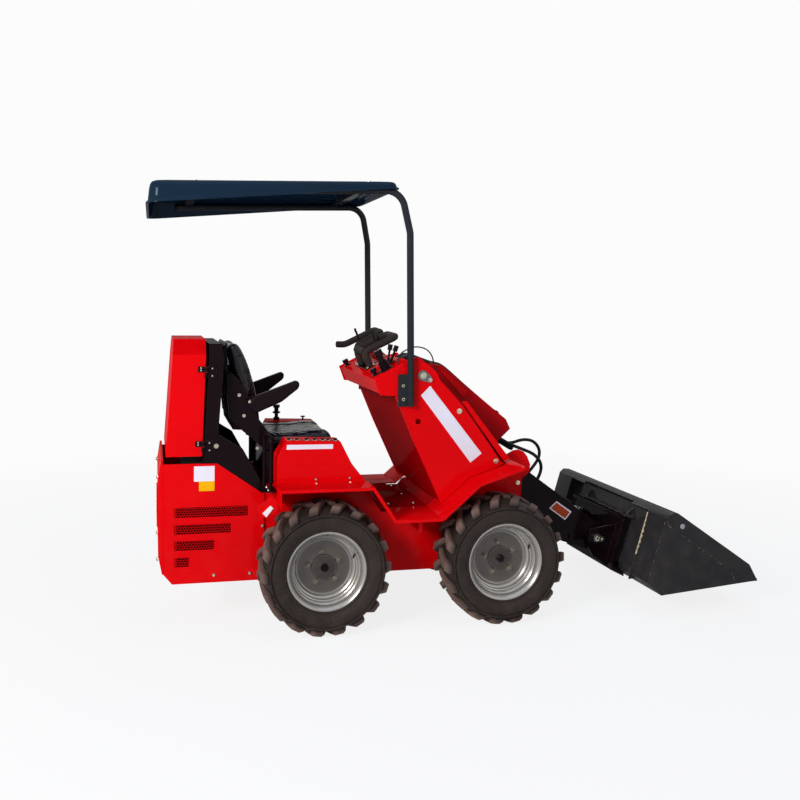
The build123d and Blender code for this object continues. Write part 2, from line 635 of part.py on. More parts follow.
def fuel_cap_and_knob():
    """Filler neck with its cap, and a pull knob, on top of the left pod."""
    # rings as (radius, height from, height to)
    neck = ((15.0, 0.0, 14.0), (9.0, 14.0, 34.0), (19.0, 34.0, 42.0), (11.0, 42.0, 62.0),
            (17.0, 62.0, 76.0))
    knob = ((4.0, 0.0, 16.0), (11.0, 16.0, 22.0))
    pieces = []
    for x, rings in ((-110.0, neck), (24.0, knob)):
        foot = pod_top(x)
        post = Pos(x, POD_MIDDLE_Y, foot + 2) * Cylinder(rings[0][0], 8)
        for radius, low, high in rings:
            post += Pos(x, POD_MIDDLE_Y, foot + (low + high) / 2) * Cylinder(radius, high - low)
        below = [(x - 40, pod_top(x - 40)), (x + 40, pod_top(x + 40)), (x + 40, foot - 20),
                 (x - 40, foot - 20)]
        cut = prism(below, POD_MIDDLE_Y - 40, POD_MIDDLE_Y + 40)
        pieces += (post - cut).solids()
    return Compound(pieces)


# ---------------------------------------------------------------- boom
def boom_beam():
    """Red upper boom: two side plates joined by a top plate, with bosses at the pivot."""
    outline = [on_boom(s, n) for s, n in ((0, BOSS_RADIUS), (100, BEAM_TOP), (BEAM_END, BEAM_TOP),
                                          (BEAM_END + 45, BEAM_TOP - 22), (BEAM_END + 24, BEAM_FOOT),
                                          (0, -BOSS_RADIUS))]
    inner = BOOM_HALF - BOOM_PLATE
    side = prism(outline, inner, BOOM_HALF) + cross_pin(PIVOT_X, PIVOT_Z, BOSS_RADIUS, inner - 28,
                                                        BOOM_HALF)
    side -= cross_pin(PIVOT_X, PIVOT_Z, PIN_RADIUS + PIN_FIT, inner - 48, BOOM_HALF + 5)
    beam = side + mirror(side, about=Plane.XZ)
    # plates across: s and n of two opposite corners
    for s_from, s_to, n_from, n_to in ((100, BEAM_END, BEAM_TOP - BOOM_PLATE, BEAM_TOP),
                                       (400, 408, 10, BEAM_TOP - 5)):
        corners = ((s_from, n_from), (s_to, n_from), (s_to, n_to), (s_from, n_to))
        beam += prism([on_boom(s, n) for s, n in corners], -inner, inner)
    cover = [on_boom(s, n) for s, n in ((180, BEAM_TOP - 1), (190, BEAM_TOP + 18), (262, BEAM_TOP + 18),
                                        (284, BEAM_TOP - 1))]
    beam += prism(cover, -56, 56)
    eye_s, eye_n = 292, -69
    lug = prism([on_boom(s, n) for s, n in ((eye_s - 60, BEAM_TOP - 5), (eye_s + 60, BEAM_TOP - 5),
                                            (eye_s + 30, eye_n - 24), (eye_s - 30, eye_n - 24))],
                LUG_INSIDE, LUG_INSIDE + 12)
    lug += cross_pin(LIFT_TOP_X, LIFT_TOP_Z, 22, LUG_INSIDE, LUG_INSIDE + 22)
    return beam + lug + mirror(lug, about=Plane.XZ)


def pivot_pins():
    """Pins of the boom pivot through tower and boom, and the pin at the lift cylinder's foot."""
    pivot = cross_pin(PIVOT_X, PIVOT_Z, PIN_RADIUS, BOOM_HALF - BOOM_PLATE - 28, TOWER_HALF)
    flag = [(-24, 0), (-17, 17), (0, 24), (17, 17), (38, -6), (44, -20), (36, -30), (24, -30), (0, -24),
            (-17, -17)]
    pivot += prism([(PIVOT_X + x, PIVOT_Z + z) for x, z in flag], TOWER_HALF, TOWER_HALF + 5)
    foot = cross_pin(LIFT_FOOT_X, LIFT_FOOT_Z, EYE_PIN_RADIUS, -LUG_INSIDE - 16, LUG_INSIDE + 16)
    return Compound([*both(pivot).solids(), *foot.solids()])


def boom_knee():
    """Black lower boom: two side plates inside the beam's, cross plates and the bosses of the tilt pin."""
    outline = [on_boom(430, BEAM_FOOT - 6), on_boom(430, 70), on_boom(520, 70), (883, 732), (1043, 616),
               (1359, 387),
               (TILT_X + 40, TILT_Z + 56), (TILT_X + 68, TILT_Z + 12), (TILT_X + 62, TILT_Z - 28),
               (TILT_X + 30, TILT_Z - 61), (TILT_X - 29, TILT_Z - 62), (1201, 280), (1030, 440), (880, 610)]
    outer = BOOM_HALF - BOOM_PLATE
    inner = outer - BOOM_PLATE
    side = prism(outline, inner, outer)
    side += cross_pin(TILT_X, TILT_Z, 38, inner - 10, outer + 10)
    side -= cross_pin(TILT_X, TILT_Z, PIN_RADIUS + PIN_FIT, inner - 20, outer + 20)
    knee = side + mirror(side, about=Plane.XZ)
    # lower plate, hose bracket
    knee += prism([(1040, 441), (1186, 304), (1186, 292), (1030, 440)], -inner, inner)
    knee += slab(1042, 1096, -inner, inner, HOSE_FOOT_Z - PLATE, HOSE_FOOT_Z)
    knee += prism([on_boom(s, n) for s, n in ((476, -30), (484, -30), (484, 60), (476, 60))], -inner, inner)
    return knee


def knee_pin():
    """Pin at the tilt cylinder's foot, between the knee's plates."""
    inner = BOOM_HALF - 2 * BOOM_PLATE
    return cross_pin(TILT_FOOT_X, TILT_FOOT_Z, EYE_PIN_RADIUS, -inner, inner)


def boom_hoses():
    """Two hoses that loop from inside the beam to the bracket in the knee."""
    pieces = []
    # side offset, then the route as (x, z)
    near = (on_boom(485.5, 34), (950, 748), (1040, 714), (1113, 684), (1152, 628), (1128, 556),
            (1080, HOSE_FOOT_Z + 5.5))
    far = (on_boom(485.5, 24), (950, 740), (1040, 712), (1110, 736), (1175, 726), (1212, 672), (1190, 604),
           (1074, HOSE_FOOT_Z + 6.7))
    for y, route in ((-80, near), (80, far)):
        pieces += tube([(x, y, z) for x, z in route], HOSE_RADIUS, bend=26).solids()
    return Compound(pieces)


# ---------------------------------------------------------------- cylinders
def along(foot, head, distance):
    """Place at a distance from the foot towards the head, both as (x, z)."""
    length = math.hypot(head[0] - foot[0], head[1] - foot[1])
    return (foot[0] + (head[0] - foot[0]) * distance / length,
            foot[1] + (head[1] - foot[1]) * distance / length)


def rod_between(foot, head, start, stop, radius):
    """Round bar on the line from foot to head, between two distances from the foot."""
    a, b = along(foot, head, start), along(foot, head, stop)
    section = Plane(origin=(a[0], 0, a[1]), z_dir=(b[0] - a[0], 0, b[1] - a[1])) * Circle(radius)
    return extrude(section, amount=stop - start)


def barrel(foot, head, length, radius, rod_radius):
    """Cylinder barrel with its foot eye and a bore for the rod."""
    eye = cross_pin(foot[0], foot[1], EYE_RADIUS, -EYE_HALF, EYE_HALF)
    body = rod_between(foot, head, EYE_RADIUS - 6, length, radius) + eye
    body -= cross_pin(foot[0], foot[1], EYE_PIN_RADIUS + PIN_FIT, -EYE_HALF - 20, EYE_HALF + 20)
    return body - rod_between(foot, head, EYE_RADIUS + 22, length + 5, rod_radius + PIN_FIT)


def rod(foot, head, inside, radius):
    """Cylinder rod from its inner end to its eye, which carries a short pin."""
    reach = math.hypot(head[0] - foot[0], head[1] - foot[1])
    body = rod_between(foot, head, inside, reach, radius)
    body += cross_pin(head[0], head[1], EYE_RADIUS, -EYE_HALF, EYE_HALF)
    return body + cross_pin(head[0], head[1], EYE_PIN_RADIUS, -LUG_INSIDE + 2, LUG_INSIDE - 2)


LIFT_FOOT, LIFT_HEAD = (LIFT_FOOT_X, LIFT_FOOT_Z), (LIFT_TOP_X, LIFT_TOP_Z)
TILT_FOOT, TILT_HEAD = (TILT_FOOT_X, TILT_FOOT_Z), (TILT_HEAD_X, TILT_HEAD_Z)


def lift_barrel():
    """Lift cylinder barrel."""
    return barrel(LIFT_FOOT, LIFT_HEAD, LIFT_BARREL, LIFT_RADIUS, LIFT_ROD_RADIUS)


def lift_rod():
    """Lift cylinder rod."""
    return rod(LIFT_FOOT, LIFT_HEAD, 84, LIFT_ROD_RADIUS)


def tilt_barrel():
    """Tilt cylinder barrel."""
    return barrel(TILT_FOOT, TILT_HEAD, TILT_BARREL, TILT_RADIUS, TILT_ROD_RADIUS)


def tilt_rod():
    """Tilt cylinder rod."""
    return rod(TILT_FOOT, TILT_HEAD, 80, TILT_ROD_RADIUS)


# ---------------------------------------------------------------- tool
# the back plane of the bucket leans: m is square to it from the tilt pin, v runs up along it
BACK_SQUARE = (0.9611, -0.2762)
BACK_UP = (0.2762, 0.9611)


def on_back(m, v):
    """World (x, z) of a place given square to the bucket's back plane and up along it."""
    return (TILT_X + m * BACK_SQUARE[0] + v * BACK_UP[0], TILT_Z + m * BACK_SQUARE[1] + v * BACK_UP[1])


BACK_M = 101.0            # bucket's back plane from the tilt pin
BUCKET_LINE = [(BUCKET_TIP_X, 148), (1533, 106), (1460, 168), (1545, 464), (1569, 485), (1603, 482)]


def coupler():
    """Quick coupler: plate, two bars, two ears with the tilt pins and the lug of the tilt cylinder."""
    plate = prism([on_back(m, v) for m, v in ((BACK_M - 17, -90), (BACK_M - 1, -90), (BACK_M - 1, 141),
                                              (BACK_M - 46, 141), (BACK_M - 46, 127), (BACK_M - 17, 127))],
                  -COUPLER_HALF, COUPLER_HALF)
    foot = prism([on_back(BACK_M - 17, -85), on_back(BACK_M - 1, -85), on_back(BACK_M - 1, -94),
                  (1459, 167),
                  (1513.5, 121), (1514, 104), (1451, 136), (1443.5, 172.5)], -COUPLER_HALF, COUPLER_HALF)
    body = plate + foot
    ear_in = BOOM_HALF + 3
    ear = prism([(TILT_X - 34, TILT_Z + 46), on_back(BACK_M - 15, 92), on_back(BACK_M - 15, -88),
                 (1452, 139),
                 (TILT_X - 15, TILT_Z - 89), (TILT_X - 50, TILT_Z - 30)], ear_in, ear_in + EAR_PLATE)
    pin = cross_pin(TILT_X, TILT_Z, PIN_RADIUS, BOOM_HALF - 2 * BOOM_PLATE - 10, ear_in + EAR_PLATE)
    pin += cross_pin(TILT_X, TILT_Z, PIN_RADIUS + 6, ear_in + EAR_PLATE, ear_in + EAR_PLATE + 6)
    lug = prism([(TILT_HEAD_X - 24, TILT_HEAD_Z + 4), (TILT_HEAD_X - 6, TILT_HEAD_Z + 24),
                 (TILT_HEAD_X + 20, TILT_HEAD_Z + 20), on_back(BACK_M - 15, 60), on_back(BACK_M - 15, 0)],
                LUG_INSIDE, LUG_INSIDE + 12)
    for piece in (ear, pin, lug):
        body += piece + mirror(piece, about=Plane.XZ)
    return body


RECESS = 40.0             # depth of the pocket behind the bucket, in front of the back plane
RECESS_HALF = 400.0
LIP_NOTCH_HALF = 250.0
CUTTING_EDGE = 120.0      # length of the cutting edge, front to back


def bucket():
    """Bucket: bent shell with a pocket for the coupler, doubled side plates, lip, ribs and cutting edge."""
    tip, heel, foot, top, crest, nose = BUCKET_LINE
    deep = BACK_M + RECESS
    pocket = [tip, heel, (1498, 135.5), on_back(deep, -104), on_back(deep, 232)]
    doubler = 4.0
    side_out = BUCKET_HALF - doubler
    body = prism(ribbon(pocket, BUCKET_PLATE), -side_out, side_out)
    ends = prism(ribbon(BUCKET_LINE, BUCKET_PLATE), RECESS_HALF, side_out)
    side = prism(BUCKET_LINE + [(1980, 227)], side_out - BUCKET_PLATE, side_out)
    strip = [top, crest, nose, (1980, 227), tip, (1910, 143), (1884, 202), (1559, 425)]
    side += prism(strip, side_out, BUCKET_HALF)
    wall = [on_back(BACK_M, -121), on_back(deep + 5, -102), on_back(deep + 5, 226),
            on_back(BACK_M + 20, 226),
            on_back(BACK_M, 210)]
    ends += prism(wall, RECESS_HALF, RECESS_HALF + BUCKET_PLATE)
    seat = BACK_M - 1 + FIT
    rib = [on_back(seat, -84), on_back(deep + 2, -84), on_back(deep + 2, 200), on_back(seat, 141),
           on_back(seat, 152)]
    ends += prism(rib, COUPLER_HALF - 40, COUPLER_HALF - 40 + BUCKET_PLATE)
    lip = [top, crest, nose, on_back(deep + 2, 232), on_back(deep, 222), on_back(BACK_M + 14, 206)]
    ends += prism(lip, LIP_NOTCH_HALF, RECESS_HALF + 1)
    for part in (side, ends):
        body += part + mirror(part, about=Plane.XZ)
    narrow = [(1557, 474.5), crest, nose, on_back(deep + 2, 232), on_back(deep, 222),
              on_back(BACK_M + 26, 214)]
    body += prism(narrow, -LIP_NOTCH_HALF - 1, LIP_NOTCH_HALF + 1)
    bar = [on_back(seat, 144), on_back(deep + 2, 144), on_back(deep + 2, 152), on_back(seat, 152)]
    body += prism(bar, -COUPLER_HALF - 20, COUPLER_HALF + 20)
    slope = (tip[1] - heel[1]) / (tip[0] - heel[0])
    edge_back = tip[0] - CUTTING_EDGE
    edge_low = tip[1] - CUTTING_EDGE * slope
    edge = [tip, (tip[0] - 20, tip[1] + 18 - 20 * slope), (edge_back, edge_low + 18),
            (edge_back, edge_low + 1)]
    return body + prism(edge, -side_out + 1, side_out - 1)


NODES = {
    "chassis_frame": chassis_frame,
    "axle_stubs": axle_stubs,
    "engine_bay_panels": engine_bay_panels,
    "side_grilles": side_grilles,
    "rear_panel": rear_panel,
    "engine_block": engine_block,
    "hood_frame": hood_frame,
    "hood": hood,
    "fenders": fenders,
    "floor_plates": floor_plates,
    "side_pods": side_pods,
    "seat_base": seat_base,
    "seat_cushion": seat_cushion,
    "seat_back": seat_back,
    "armrests": armrests,
    "tower_skins": tower_skins,
    "tower_inner_plates": tower_inner_plates,
    "tower_rear_panel": tower_rear_panel,
    "control_console": control_console,
    "control_handles": control_handles,
    "control_levers": control_levers,
    "canopy_posts": canopy_posts,
    "canopy_roof": canopy_roof,
    "grab_handles": grab_handles,
    "lamp_tabs": lamp_tabs,
    "lamp_lenses": lamp_lenses,
    "fuel_cap_and_knob": fuel_cap_and_knob,
    "boom_beam": boom_beam,
    "pivot_pins": pivot_pins,
    "boom_knee": boom_knee,
    "knee_pin": knee_pin,
    "boom_hoses": boom_hoses,
    "lift_barrel": lift_barrel,
    "lift_rod": lift_rod,
    "tilt_barrel": tilt_barrel,
    "tilt_rod": tilt_rod,
    "coupler": coupler,
    "bucket": bucket,
}


def write(name, shape):
    """One STEP file, as separate solids about the part's origin."""
    solids = [Pos(ORIGIN_SHIFT, 0, 0) * solid for solid in shape.solids()]
    export_step(Compound(solids) if len(solids) > 1 else solids[0], f"parts/{name}.step")


for name, make in NODES.items():
    write(name, make())

# wheels: name, x of the axle, side of the machine
for name, x, side in (("front_left", WHEELBASE, 1), ("front_right", WHEELBASE, -1),
                      ("rear_left", 0.0, 1), ("rear_right", 0.0, -1)):
    write(f"tyre_{name}", tyre(x, side))
    write(f"rim_{name}", rim(x, side))
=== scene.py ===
"""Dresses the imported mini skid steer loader: paint, rubber, vinyl and small parts around the CAD frame.

Places are written in millimetres, with X counted from the rear axle, Y to the machine's left and Z from
the ground. Datum turns them into metres in the frame that every Blender object shares.
"""

import logging
import math
from dataclasses import dataclass
from enum import Enum

import bpy
import numpy as np
from mathutils import Matrix, Vector
from mathutils.bvhtree import BVHTree


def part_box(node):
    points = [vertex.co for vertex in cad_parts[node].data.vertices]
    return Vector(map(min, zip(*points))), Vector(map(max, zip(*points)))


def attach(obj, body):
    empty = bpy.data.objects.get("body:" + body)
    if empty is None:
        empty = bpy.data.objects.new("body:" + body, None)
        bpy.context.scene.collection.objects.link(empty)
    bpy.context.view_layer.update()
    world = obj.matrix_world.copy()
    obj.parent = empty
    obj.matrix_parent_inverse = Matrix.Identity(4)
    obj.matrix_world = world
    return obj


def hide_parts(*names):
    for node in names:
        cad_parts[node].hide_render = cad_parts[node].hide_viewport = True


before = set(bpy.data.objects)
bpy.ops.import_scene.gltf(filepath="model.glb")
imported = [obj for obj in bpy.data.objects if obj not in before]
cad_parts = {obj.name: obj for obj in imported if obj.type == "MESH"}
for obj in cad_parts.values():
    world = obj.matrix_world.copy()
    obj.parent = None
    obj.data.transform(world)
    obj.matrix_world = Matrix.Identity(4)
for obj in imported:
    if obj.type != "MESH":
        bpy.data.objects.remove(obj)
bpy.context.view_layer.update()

LOG = logging.getLogger("loader")
MM = 0.001
NEAR, FAR = -1, 1                     # the machine's right side and its left side
MIRROR = np.array([1.0, -1.0, 1.0])   # turns a place into its twin on the other side
WHEELBASE, HALF_TRACK = 800.0, 408.0


# ------------------------------------------------------------------ datum and shapes
class Datum:
    """Turns places in millimetres from the rear axle into metres in the shared frame."""

    def __init__(self) -> None:
        """Reads the rear axle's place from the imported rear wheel."""
        low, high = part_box("rim_rear_left")
        self.axle_x = (low.x + high.x) / 2
        self.axle_z = (low.z + high.z) / 2 / MM

    def metres(self, points: np.ndarray) -> np.ndarray:
        """Metres in the shared frame for an array of places in millimetres."""
        return np.asarray(points, float) * MM + np.array([self.axle_x, 0.0, 0.0])


DATUM = Datum()


@dataclass
class Shape:
    """A surface in millimetres: its points, and its faces as lists of point numbers."""

    points: np.ndarray
    faces: list

    def __add__(self, other: "Shape") -> "Shape":
        """Both surfaces as one."""
        shift = len(self.points)
        moved = [[i + shift for i in face] for face in other.faces]
        return Shape(np.vstack([self.points, other.points]), self.faces + moved)

    def moved(self, offset: tuple) -> "Shape":
        """The surface shifted by an offset."""
        return Shape(self.points + np.array(offset, float), self.faces)

    def mirrored(self) -> "Shape":
        """The surface on the machine's other side, with its faces still outwards."""
        return Shape(self.points * MIRROR, [face[::-1] for face in self.faces])

    def paired(self) -> "Shape":
        """The surface on both sides of the machine."""
        return self + self.mirrored()


def joined(shapes: list) -> Shape:
    """All the surfaces of a list as one."""
    total = shapes[0]
    for shape in shapes[1:]:
        total = total + shape
    return total


def unit(vector: np.ndarray) -> np.ndarray:
    """Each vector of an array at length one."""
    vector = np.asarray(vector, float)
    return vector / np.maximum(np.linalg.norm(vector, axis=-1, keepdims=True), 1e-9)


def smooth_line(points: list, count: int) -> np.ndarray:
    """A smooth line through a few points.

    Between two points a and b with neighbours p and q it is the Catmull-Rom cubic
    h00 a + h10 (b - p) / 2 + h01 b + h11 (q - a) / 2 of the share t of the way.

    Args:
        points: the places it passes, in order.
        count: how many places it returns.

    Returns:
        An array of count places.
    """
    knots = np.array(points, float)
    padded = np.vstack([2 * knots[0] - knots[1], knots, 2 * knots[-1] - knots[-2]])
    place = np.linspace(0, len(knots) - 1, count)
    index = np.minimum(place.astype(int), len(knots) - 2)
    t = (place - index)[:, None]
    before, start, end, after = (padded[index + k] for k in range(4))
    return ((2 * t**3 - 3 * t**2 + 1) * start + (t**3 - 2 * t**2 + t) * (end - before) / 2
            + (3 * t**2 - 2 * t**3) * end + (t**3 - t**2) * (after - start) / 2)


def bent_line(points: list, radius: float, steps: int = 8) -> np.ndarray:
    """A run of straight lines with its inner corners rounded, as a bent tube follows.

    Each corner c is replaced by the quadratic arc (1-t)^2 a + 2t(1-t) c + t^2 b between a and b,
    which lie on its two runs at the radius from it, or nearer on a short run.

    Args:
        points: its start, its corners and its end.
        radius: how far from a corner the rounding starts.
        steps: how many places each corner gets.

    Returns:
        An array of places along the line.
    """
    corners = np.array(points, float)
    inner = corners[1:-1]
    back, ahead = corners[:-2] - inner, corners[2:] - inner
    shorter = np.minimum(np.linalg.norm(back, axis=1), np.linalg.norm(ahead, axis=1))
    reach = np.minimum(radius, 0.48 * shorter)
    a = inner + unit(back) * reach[:, None]
    b = inner + unit(ahead) * reach[:, None]
    t = np.linspace(0, 1, steps)[None, :, None]
    arcs = (1 - t)**2 * a[:, None] + 2 * t * (1 - t) * inner[:, None] + t**2 * b[:, None]
    return np.vstack([corners[:1], arcs.reshape(-1, 3), corners[-1:]])


def grid_faces(rows: int, columns: int, wrap_rows: bool, wrap_columns: bool) -> list:
    """Quads between neighbours of a grid, closed across an edge where it wraps.

    Args:
        rows: how many rows the grid has.
        columns: how many places each row has.
        wrap_rows: whether the last row joins the first.
        wrap_columns: whether each row is a closed ring.

    Returns:
        The faces as lists of four point numbers.
    """
    i = np.arange(rows if wrap_rows else rows - 1)
    j = np.arange(columns if wrap_columns else columns - 1)
    i, j = np.meshgrid(i, j, indexing="ij")
    i2, j2 = (i + 1) % rows, (j + 1) % columns
    quads = np.stack([i * columns + j, i2 * columns + j, i2 * columns + j2, i * columns + j2], axis=-1)
    return quads.reshape(-1, 4).tolist()


def grid(points: np.ndarray, wrap_rows: bool = False, wrap_columns: bool = False,
         capped: bool = False) -> Shape:
    """A surface over a grid of places.

    Args:
        points: the places, as rows x columns x 3.
        wrap_rows: whether the last row joins the first.
        wrap_columns: whether each row is a closed ring.
        capped: whether the first and the last row are closed by a face each.

    Returns:
        The surface.
    """
    rows, columns = points.shape[:2]
    faces = grid_faces(rows, columns, wrap_rows, wrap_columns)
    if capped:
        faces += [list(range(columns)), [(rows - 1) * columns + k for k in range(columns)][::-1]]
    return Shape(points.reshape(-1, 3), faces)


def welded(shape: Shape) -> Shape:
    """Joins points that coincide, as at a pole, and drops the faces that this closes up.

    Args:
        shape: a surface with doubled points.

    Returns:
        The surface without them.
    """
    _, first, back = np.unique(np.round(shape.points, 4), axis=0, return_index=True, return_inverse=True)
    number = back.ravel()
    faces = [list(dict.fromkeys(number[face].tolist())) for face in shape.faces]
    return Shape(shape.points[first], [face for face in faces if len(face) > 2])


def lathe(profile: list, centre: tuple, axis: tuple, count: int, closed: bool = True) -> Shape:
    """A profile of (radius, distance along the axis) turned about an axis.

    A place is centre + distance * axis + radius * (cos(angle) * across + sin(angle) * up).

    Args:
        profile: its places, in the order that turns its faces outwards.
        centre: where the distance along the axis is 0.
        axis: the direction of the axis.
        count: how many steps it takes round the axis.
        closed: whether the last place of the profile joins the first.

    Returns:
        The turned surface, with its poles joined.
    """
    profile = np.asarray(profile, float)
    axis = unit(axis)
    across = unit(np.cross(axis, (0.0, 0.31, 0.95) if abs(axis[2]) < 0.9 else (1.0, 0.0, 0.0)))
    up = np.cross(axis, across)
    angle = np.linspace(0, 2 * math.pi, count, endpoint=False)[:, None, None]
    ring = np.cos(angle) * across + np.sin(angle) * up
    places = np.array(centre, float) + profile[None, :, 1:2] * axis + profile[None, :, 0:1] * ring
    return welded(grid(places, wrap_rows=True, wrap_columns=closed))


def sweep(section: np.ndarray, path: np.ndarray, flat: tuple = (0, 1, 0)) -> Shape:
    """A closed section carried along a path, with its two ends closed.

    At each place the section stands on flat x tangent for up and on what is square to both for across.

    Args:
        section: its places as (across, up).
        path: the places that it passes.
        flat: a direction that the section's across is kept near to.

    Returns:
        The tube as one closed surface.
    """
    tangent = unit(np.gradient(path, axis=0))
    up = unit(np.cross(np.array(flat, float), tangent))
    across = np.cross(tangent, up)
    places = path[:, None] + section[None, :, 0:1] * across[:, None] + section[None, :, 1:2] * up[:, None]
    return grid(places, wrap_columns=True, capped=True)


def circle(radius: float, count: int = 16) -> np.ndarray:
    """Places around a circle."""
    angle = np.linspace(0, 2 * math.pi, count, endpoint=False)
    return np.stack([np.cos(angle), np.sin(angle)], -1) * radius


def rounded_box(width: float, height: float, radius: float, steps: int = 4) -> np.ndarray:
    """Places around a rectangle with round corners, each a quarter circle.

    Args:
        width: its size along the first direction.
        height: its size along the second.
        radius: of its corners.
        steps: how many places each corner gets.

    Returns:
        An array of (x, y) places.
    """
    angle = np.linspace(0, math.pi / 2, steps)
    arcs = []
    for quarter, (sx, sy) in enumerate(((1, 1), (-1, 1), (-1, -1), (1, -1))):
        turn = angle + quarter * math.pi / 2
        arcs.append(np.stack([sx * (width / 2 - radius) + radius * np.cos(turn),
                              sy * (height / 2 - radius) + radius * np.sin(turn)], -1))
    return np.vstack(arcs)


def rod(start: tuple, end: tuple, radius: float, count: int = 16) -> Shape:
    """A round bar with chamfered ends: a profile turned about the line between two places.

    Args:
        start: the middle of one end.
        end: the middle of the other.
        radius: of the bar.
        count: how many sides it has.

    Returns:
        The bar as one closed surface.
    """
    length = float(np.linalg.norm(np.subtract(end, start)))
    chamfer = min(radius * 0.15, length * 0.2)
    profile = [(0, 0), (radius - chamfer, 0), (radius, chamfer), (radius, length - chamfer),
               (radius - chamfer, length), (0, length)]
    return lathe(profile, start, np.subtract(end, start), count, closed=False)


def plate(outline: list, y_from: float, y_to: float) -> Shape:
    """A flat plate: its outline set at two places across the machine and joined.

    Args:
        outline: its corners in X and Z, in either order.
        y_from: the place of one face.
        y_to: the place of the other.

    Returns:
        The plate as one closed surface.
    """
    flat = np.array(outline, float)
    area = np.sum(flat[:, 0] * np.roll(flat[:, 1], -1) - np.roll(flat[:, 0], -1) * flat[:, 1])
    if area < 0:
        flat = flat[::-1]
    low, high = min(y_from, y_to), max(y_from, y_to)
    rings = [np.stack([flat[:, 0], np.full(len(flat), y), flat[:, 1]], -1) for y in (low, high)]
    return grid(np.stack(rings), wrap_columns=True, capped=True)


def block(x: tuple, y: tuple, z: tuple) -> Shape:
    """A box between two places on each axis."""
    return plate([(x[0], z[0]), (x[1], z[0]), (x[1], z[1]), (x[0], z[1])], y[0], y[1])


def near_sheet(outline: list, face: float, proud: float = 0.8) -> Shape:
    """A thin blank sheet on the near side of a wall, let into it by half a millimetre.

    Args:
        outline: its outline in X and Z.
        face: how far the wall's outer face lies from the machine's middle.
        proud: how far the sheet stands off the wall.

    Returns:
        The sheet as one closed surface.
    """
    return plate(outline, -face - proud, -face + 0.5)


def honeycomb(x: tuple, z: tuple, y: tuple, pitch: float, hole: float) -> Shape:
    """A perforated sheet.

    It is laid of hexagonal cells in rows half a cell apart, each with a hexagonal hole.

    Args:
        x: where it starts and ends along the machine.
        z: its lower and its upper edge.
        y: its two faces.
        pitch: from the middle of one hole to the next.
        hole: the holes' size over their flats.

    Returns:
        The sheet, as one ring of faces for each cell.
    """
    turn = np.radians(np.arange(30, 390, 60))
    star = np.stack([np.cos(turn), np.sin(turn)], -1)
    rise = pitch * math.sqrt(3) / 2
    rows = np.arange(z[0] + rise * 0.4, z[1] + rise * 0.3, rise)
    columns = np.arange(x[0], x[1] + pitch * 0.5, pitch)
    shapes = []
    for number, row in enumerate(rows):
        for column in columns + (pitch / 2 if number % 2 else 0.0):
            rings = [star * (size / math.sqrt(3)) + np.array([column, row]) for size in (pitch, hole)]
            loops = [(rings[0], y[0]), (rings[0], y[1]), (rings[1], y[1]), (rings[1], y[0])]
            places = [np.column_stack([ring[:, 0], np.full(6, depth), ring[:, 1]]) for ring, depth in loops]
            shapes.append(grid(np.stack(places), wrap_rows=True, wrap_columns=True))
    return joined(shapes)


def repeated(template: Shape, places: np.ndarray, directions: np.ndarray) -> Shape:
    """A small shape drawn about +Z, set at many places.

    Its +Z is turned along each place's direction, and its other two axes are square to that.

    Args:
        template: the small shape.
        places: where its origin goes.
        directions: where its +Z points at each place.

    Returns:
        All of them as one surface.
    """
    out = unit(directions)
    helper = np.where(np.abs(out[:, 2:3]) < 0.9, np.array([[0.0, 0.0, 1.0]]), np.array([[1.0, 0.0, 0.0]]))
    across = unit(np.cross(helper, out))
    up = np.cross(out, across)
    base = np.stack([across, up, out], axis=1)
    points = np.einsum("pk,nkc->npc", template.points, base) + np.asarray(places, float)[:, None]
    size = len(template.points)
    faces = [[i + k * size for i in face] for k in range(len(points)) for face in template.faces]
    return Shape(points.reshape(-1, 3), faces)


def both_sides(places: list) -> np.ndarray:
    """Places on one side of the machine, followed by their twins on the other."""
    side = np.array(places, float)
    return np.vstack([side, side * MIRROR])


def facing(template: Shape, places: list, direction: tuple = (0, 0, 1)) -> Shape:
    """A small shape at every place, all facing one direction, upwards if none is given."""
    return repeated(template, np.array(places, float), np.tile([direction], (len(places), 1)))


def side_row(template: Shape, places: list) -> Shape:
    """A small shape at places on one side and at their twins on the other, each facing outwards."""
    both = both_sides(places)
    return repeated(template, both, np.sign(both) * np.array([0.0, 1.0, 0.0]))


def button(profile: list, count: int = 28) -> Shape:
    """A small turned piece on Z = 0, from its profile of (radius, height) read outwards and then up."""
    return lathe(profile, (0, 0, 0), (0, 0, 1), count, closed=False)


def hex_bolt(radius: float, height: float, washer: float = 1.6) -> Shape:
    """A hexagon head with a chamfered top, on a round washer, standing on Z = 0.

    Args:
        radius: from the middle to a corner of the head.
        height: of the head.
        washer: thickness of the washer.

    Returns:
        The head and its washer.
    """
    rings = [(radius * 0.99, washer), (radius, washer + 0.3), (radius, washer + height * 0.8),
             (radius * 0.86, washer + height)]
    places = [np.column_stack([circle(r, 6), np.full(6, z)]) for r, z in rings]
    head = grid(np.stack(places[::-1]), wrap_columns=True, capped=True)
    edge = [(0, 0), (radius * 1.35, 0), (radius * 1.4, 0.4), (radius * 1.35, washer), (0, washer)]
    return head + button(edge, 20)


def dome_bolt(radius: float, height: float) -> Shape:
    """A round button head on Z = 0 with a small drive recess.

    Args:
        radius: of the head.
        height: of the head.

    Returns:
        The head as one closed surface.
    """
    profile = [(0, 0), (radius, 0), (radius * 0.95, height * 0.45), (radius * 0.72, height * 0.88),
               (radius * 0.42, height), (radius * 0.38, height * 0.55), (0, height * 0.55)]
    return button(profile, 16)


# ------------------------------------------------------------------ finishes
class Grain(Enum):
    """What the surface of a finish is like close to."""

    PAINT = "paint"
    SMOOTH = "smooth"
    RUBBER = "rubber"
    LEATHER = "leather"
    FOAM = "foam"
    CAST = "cast"


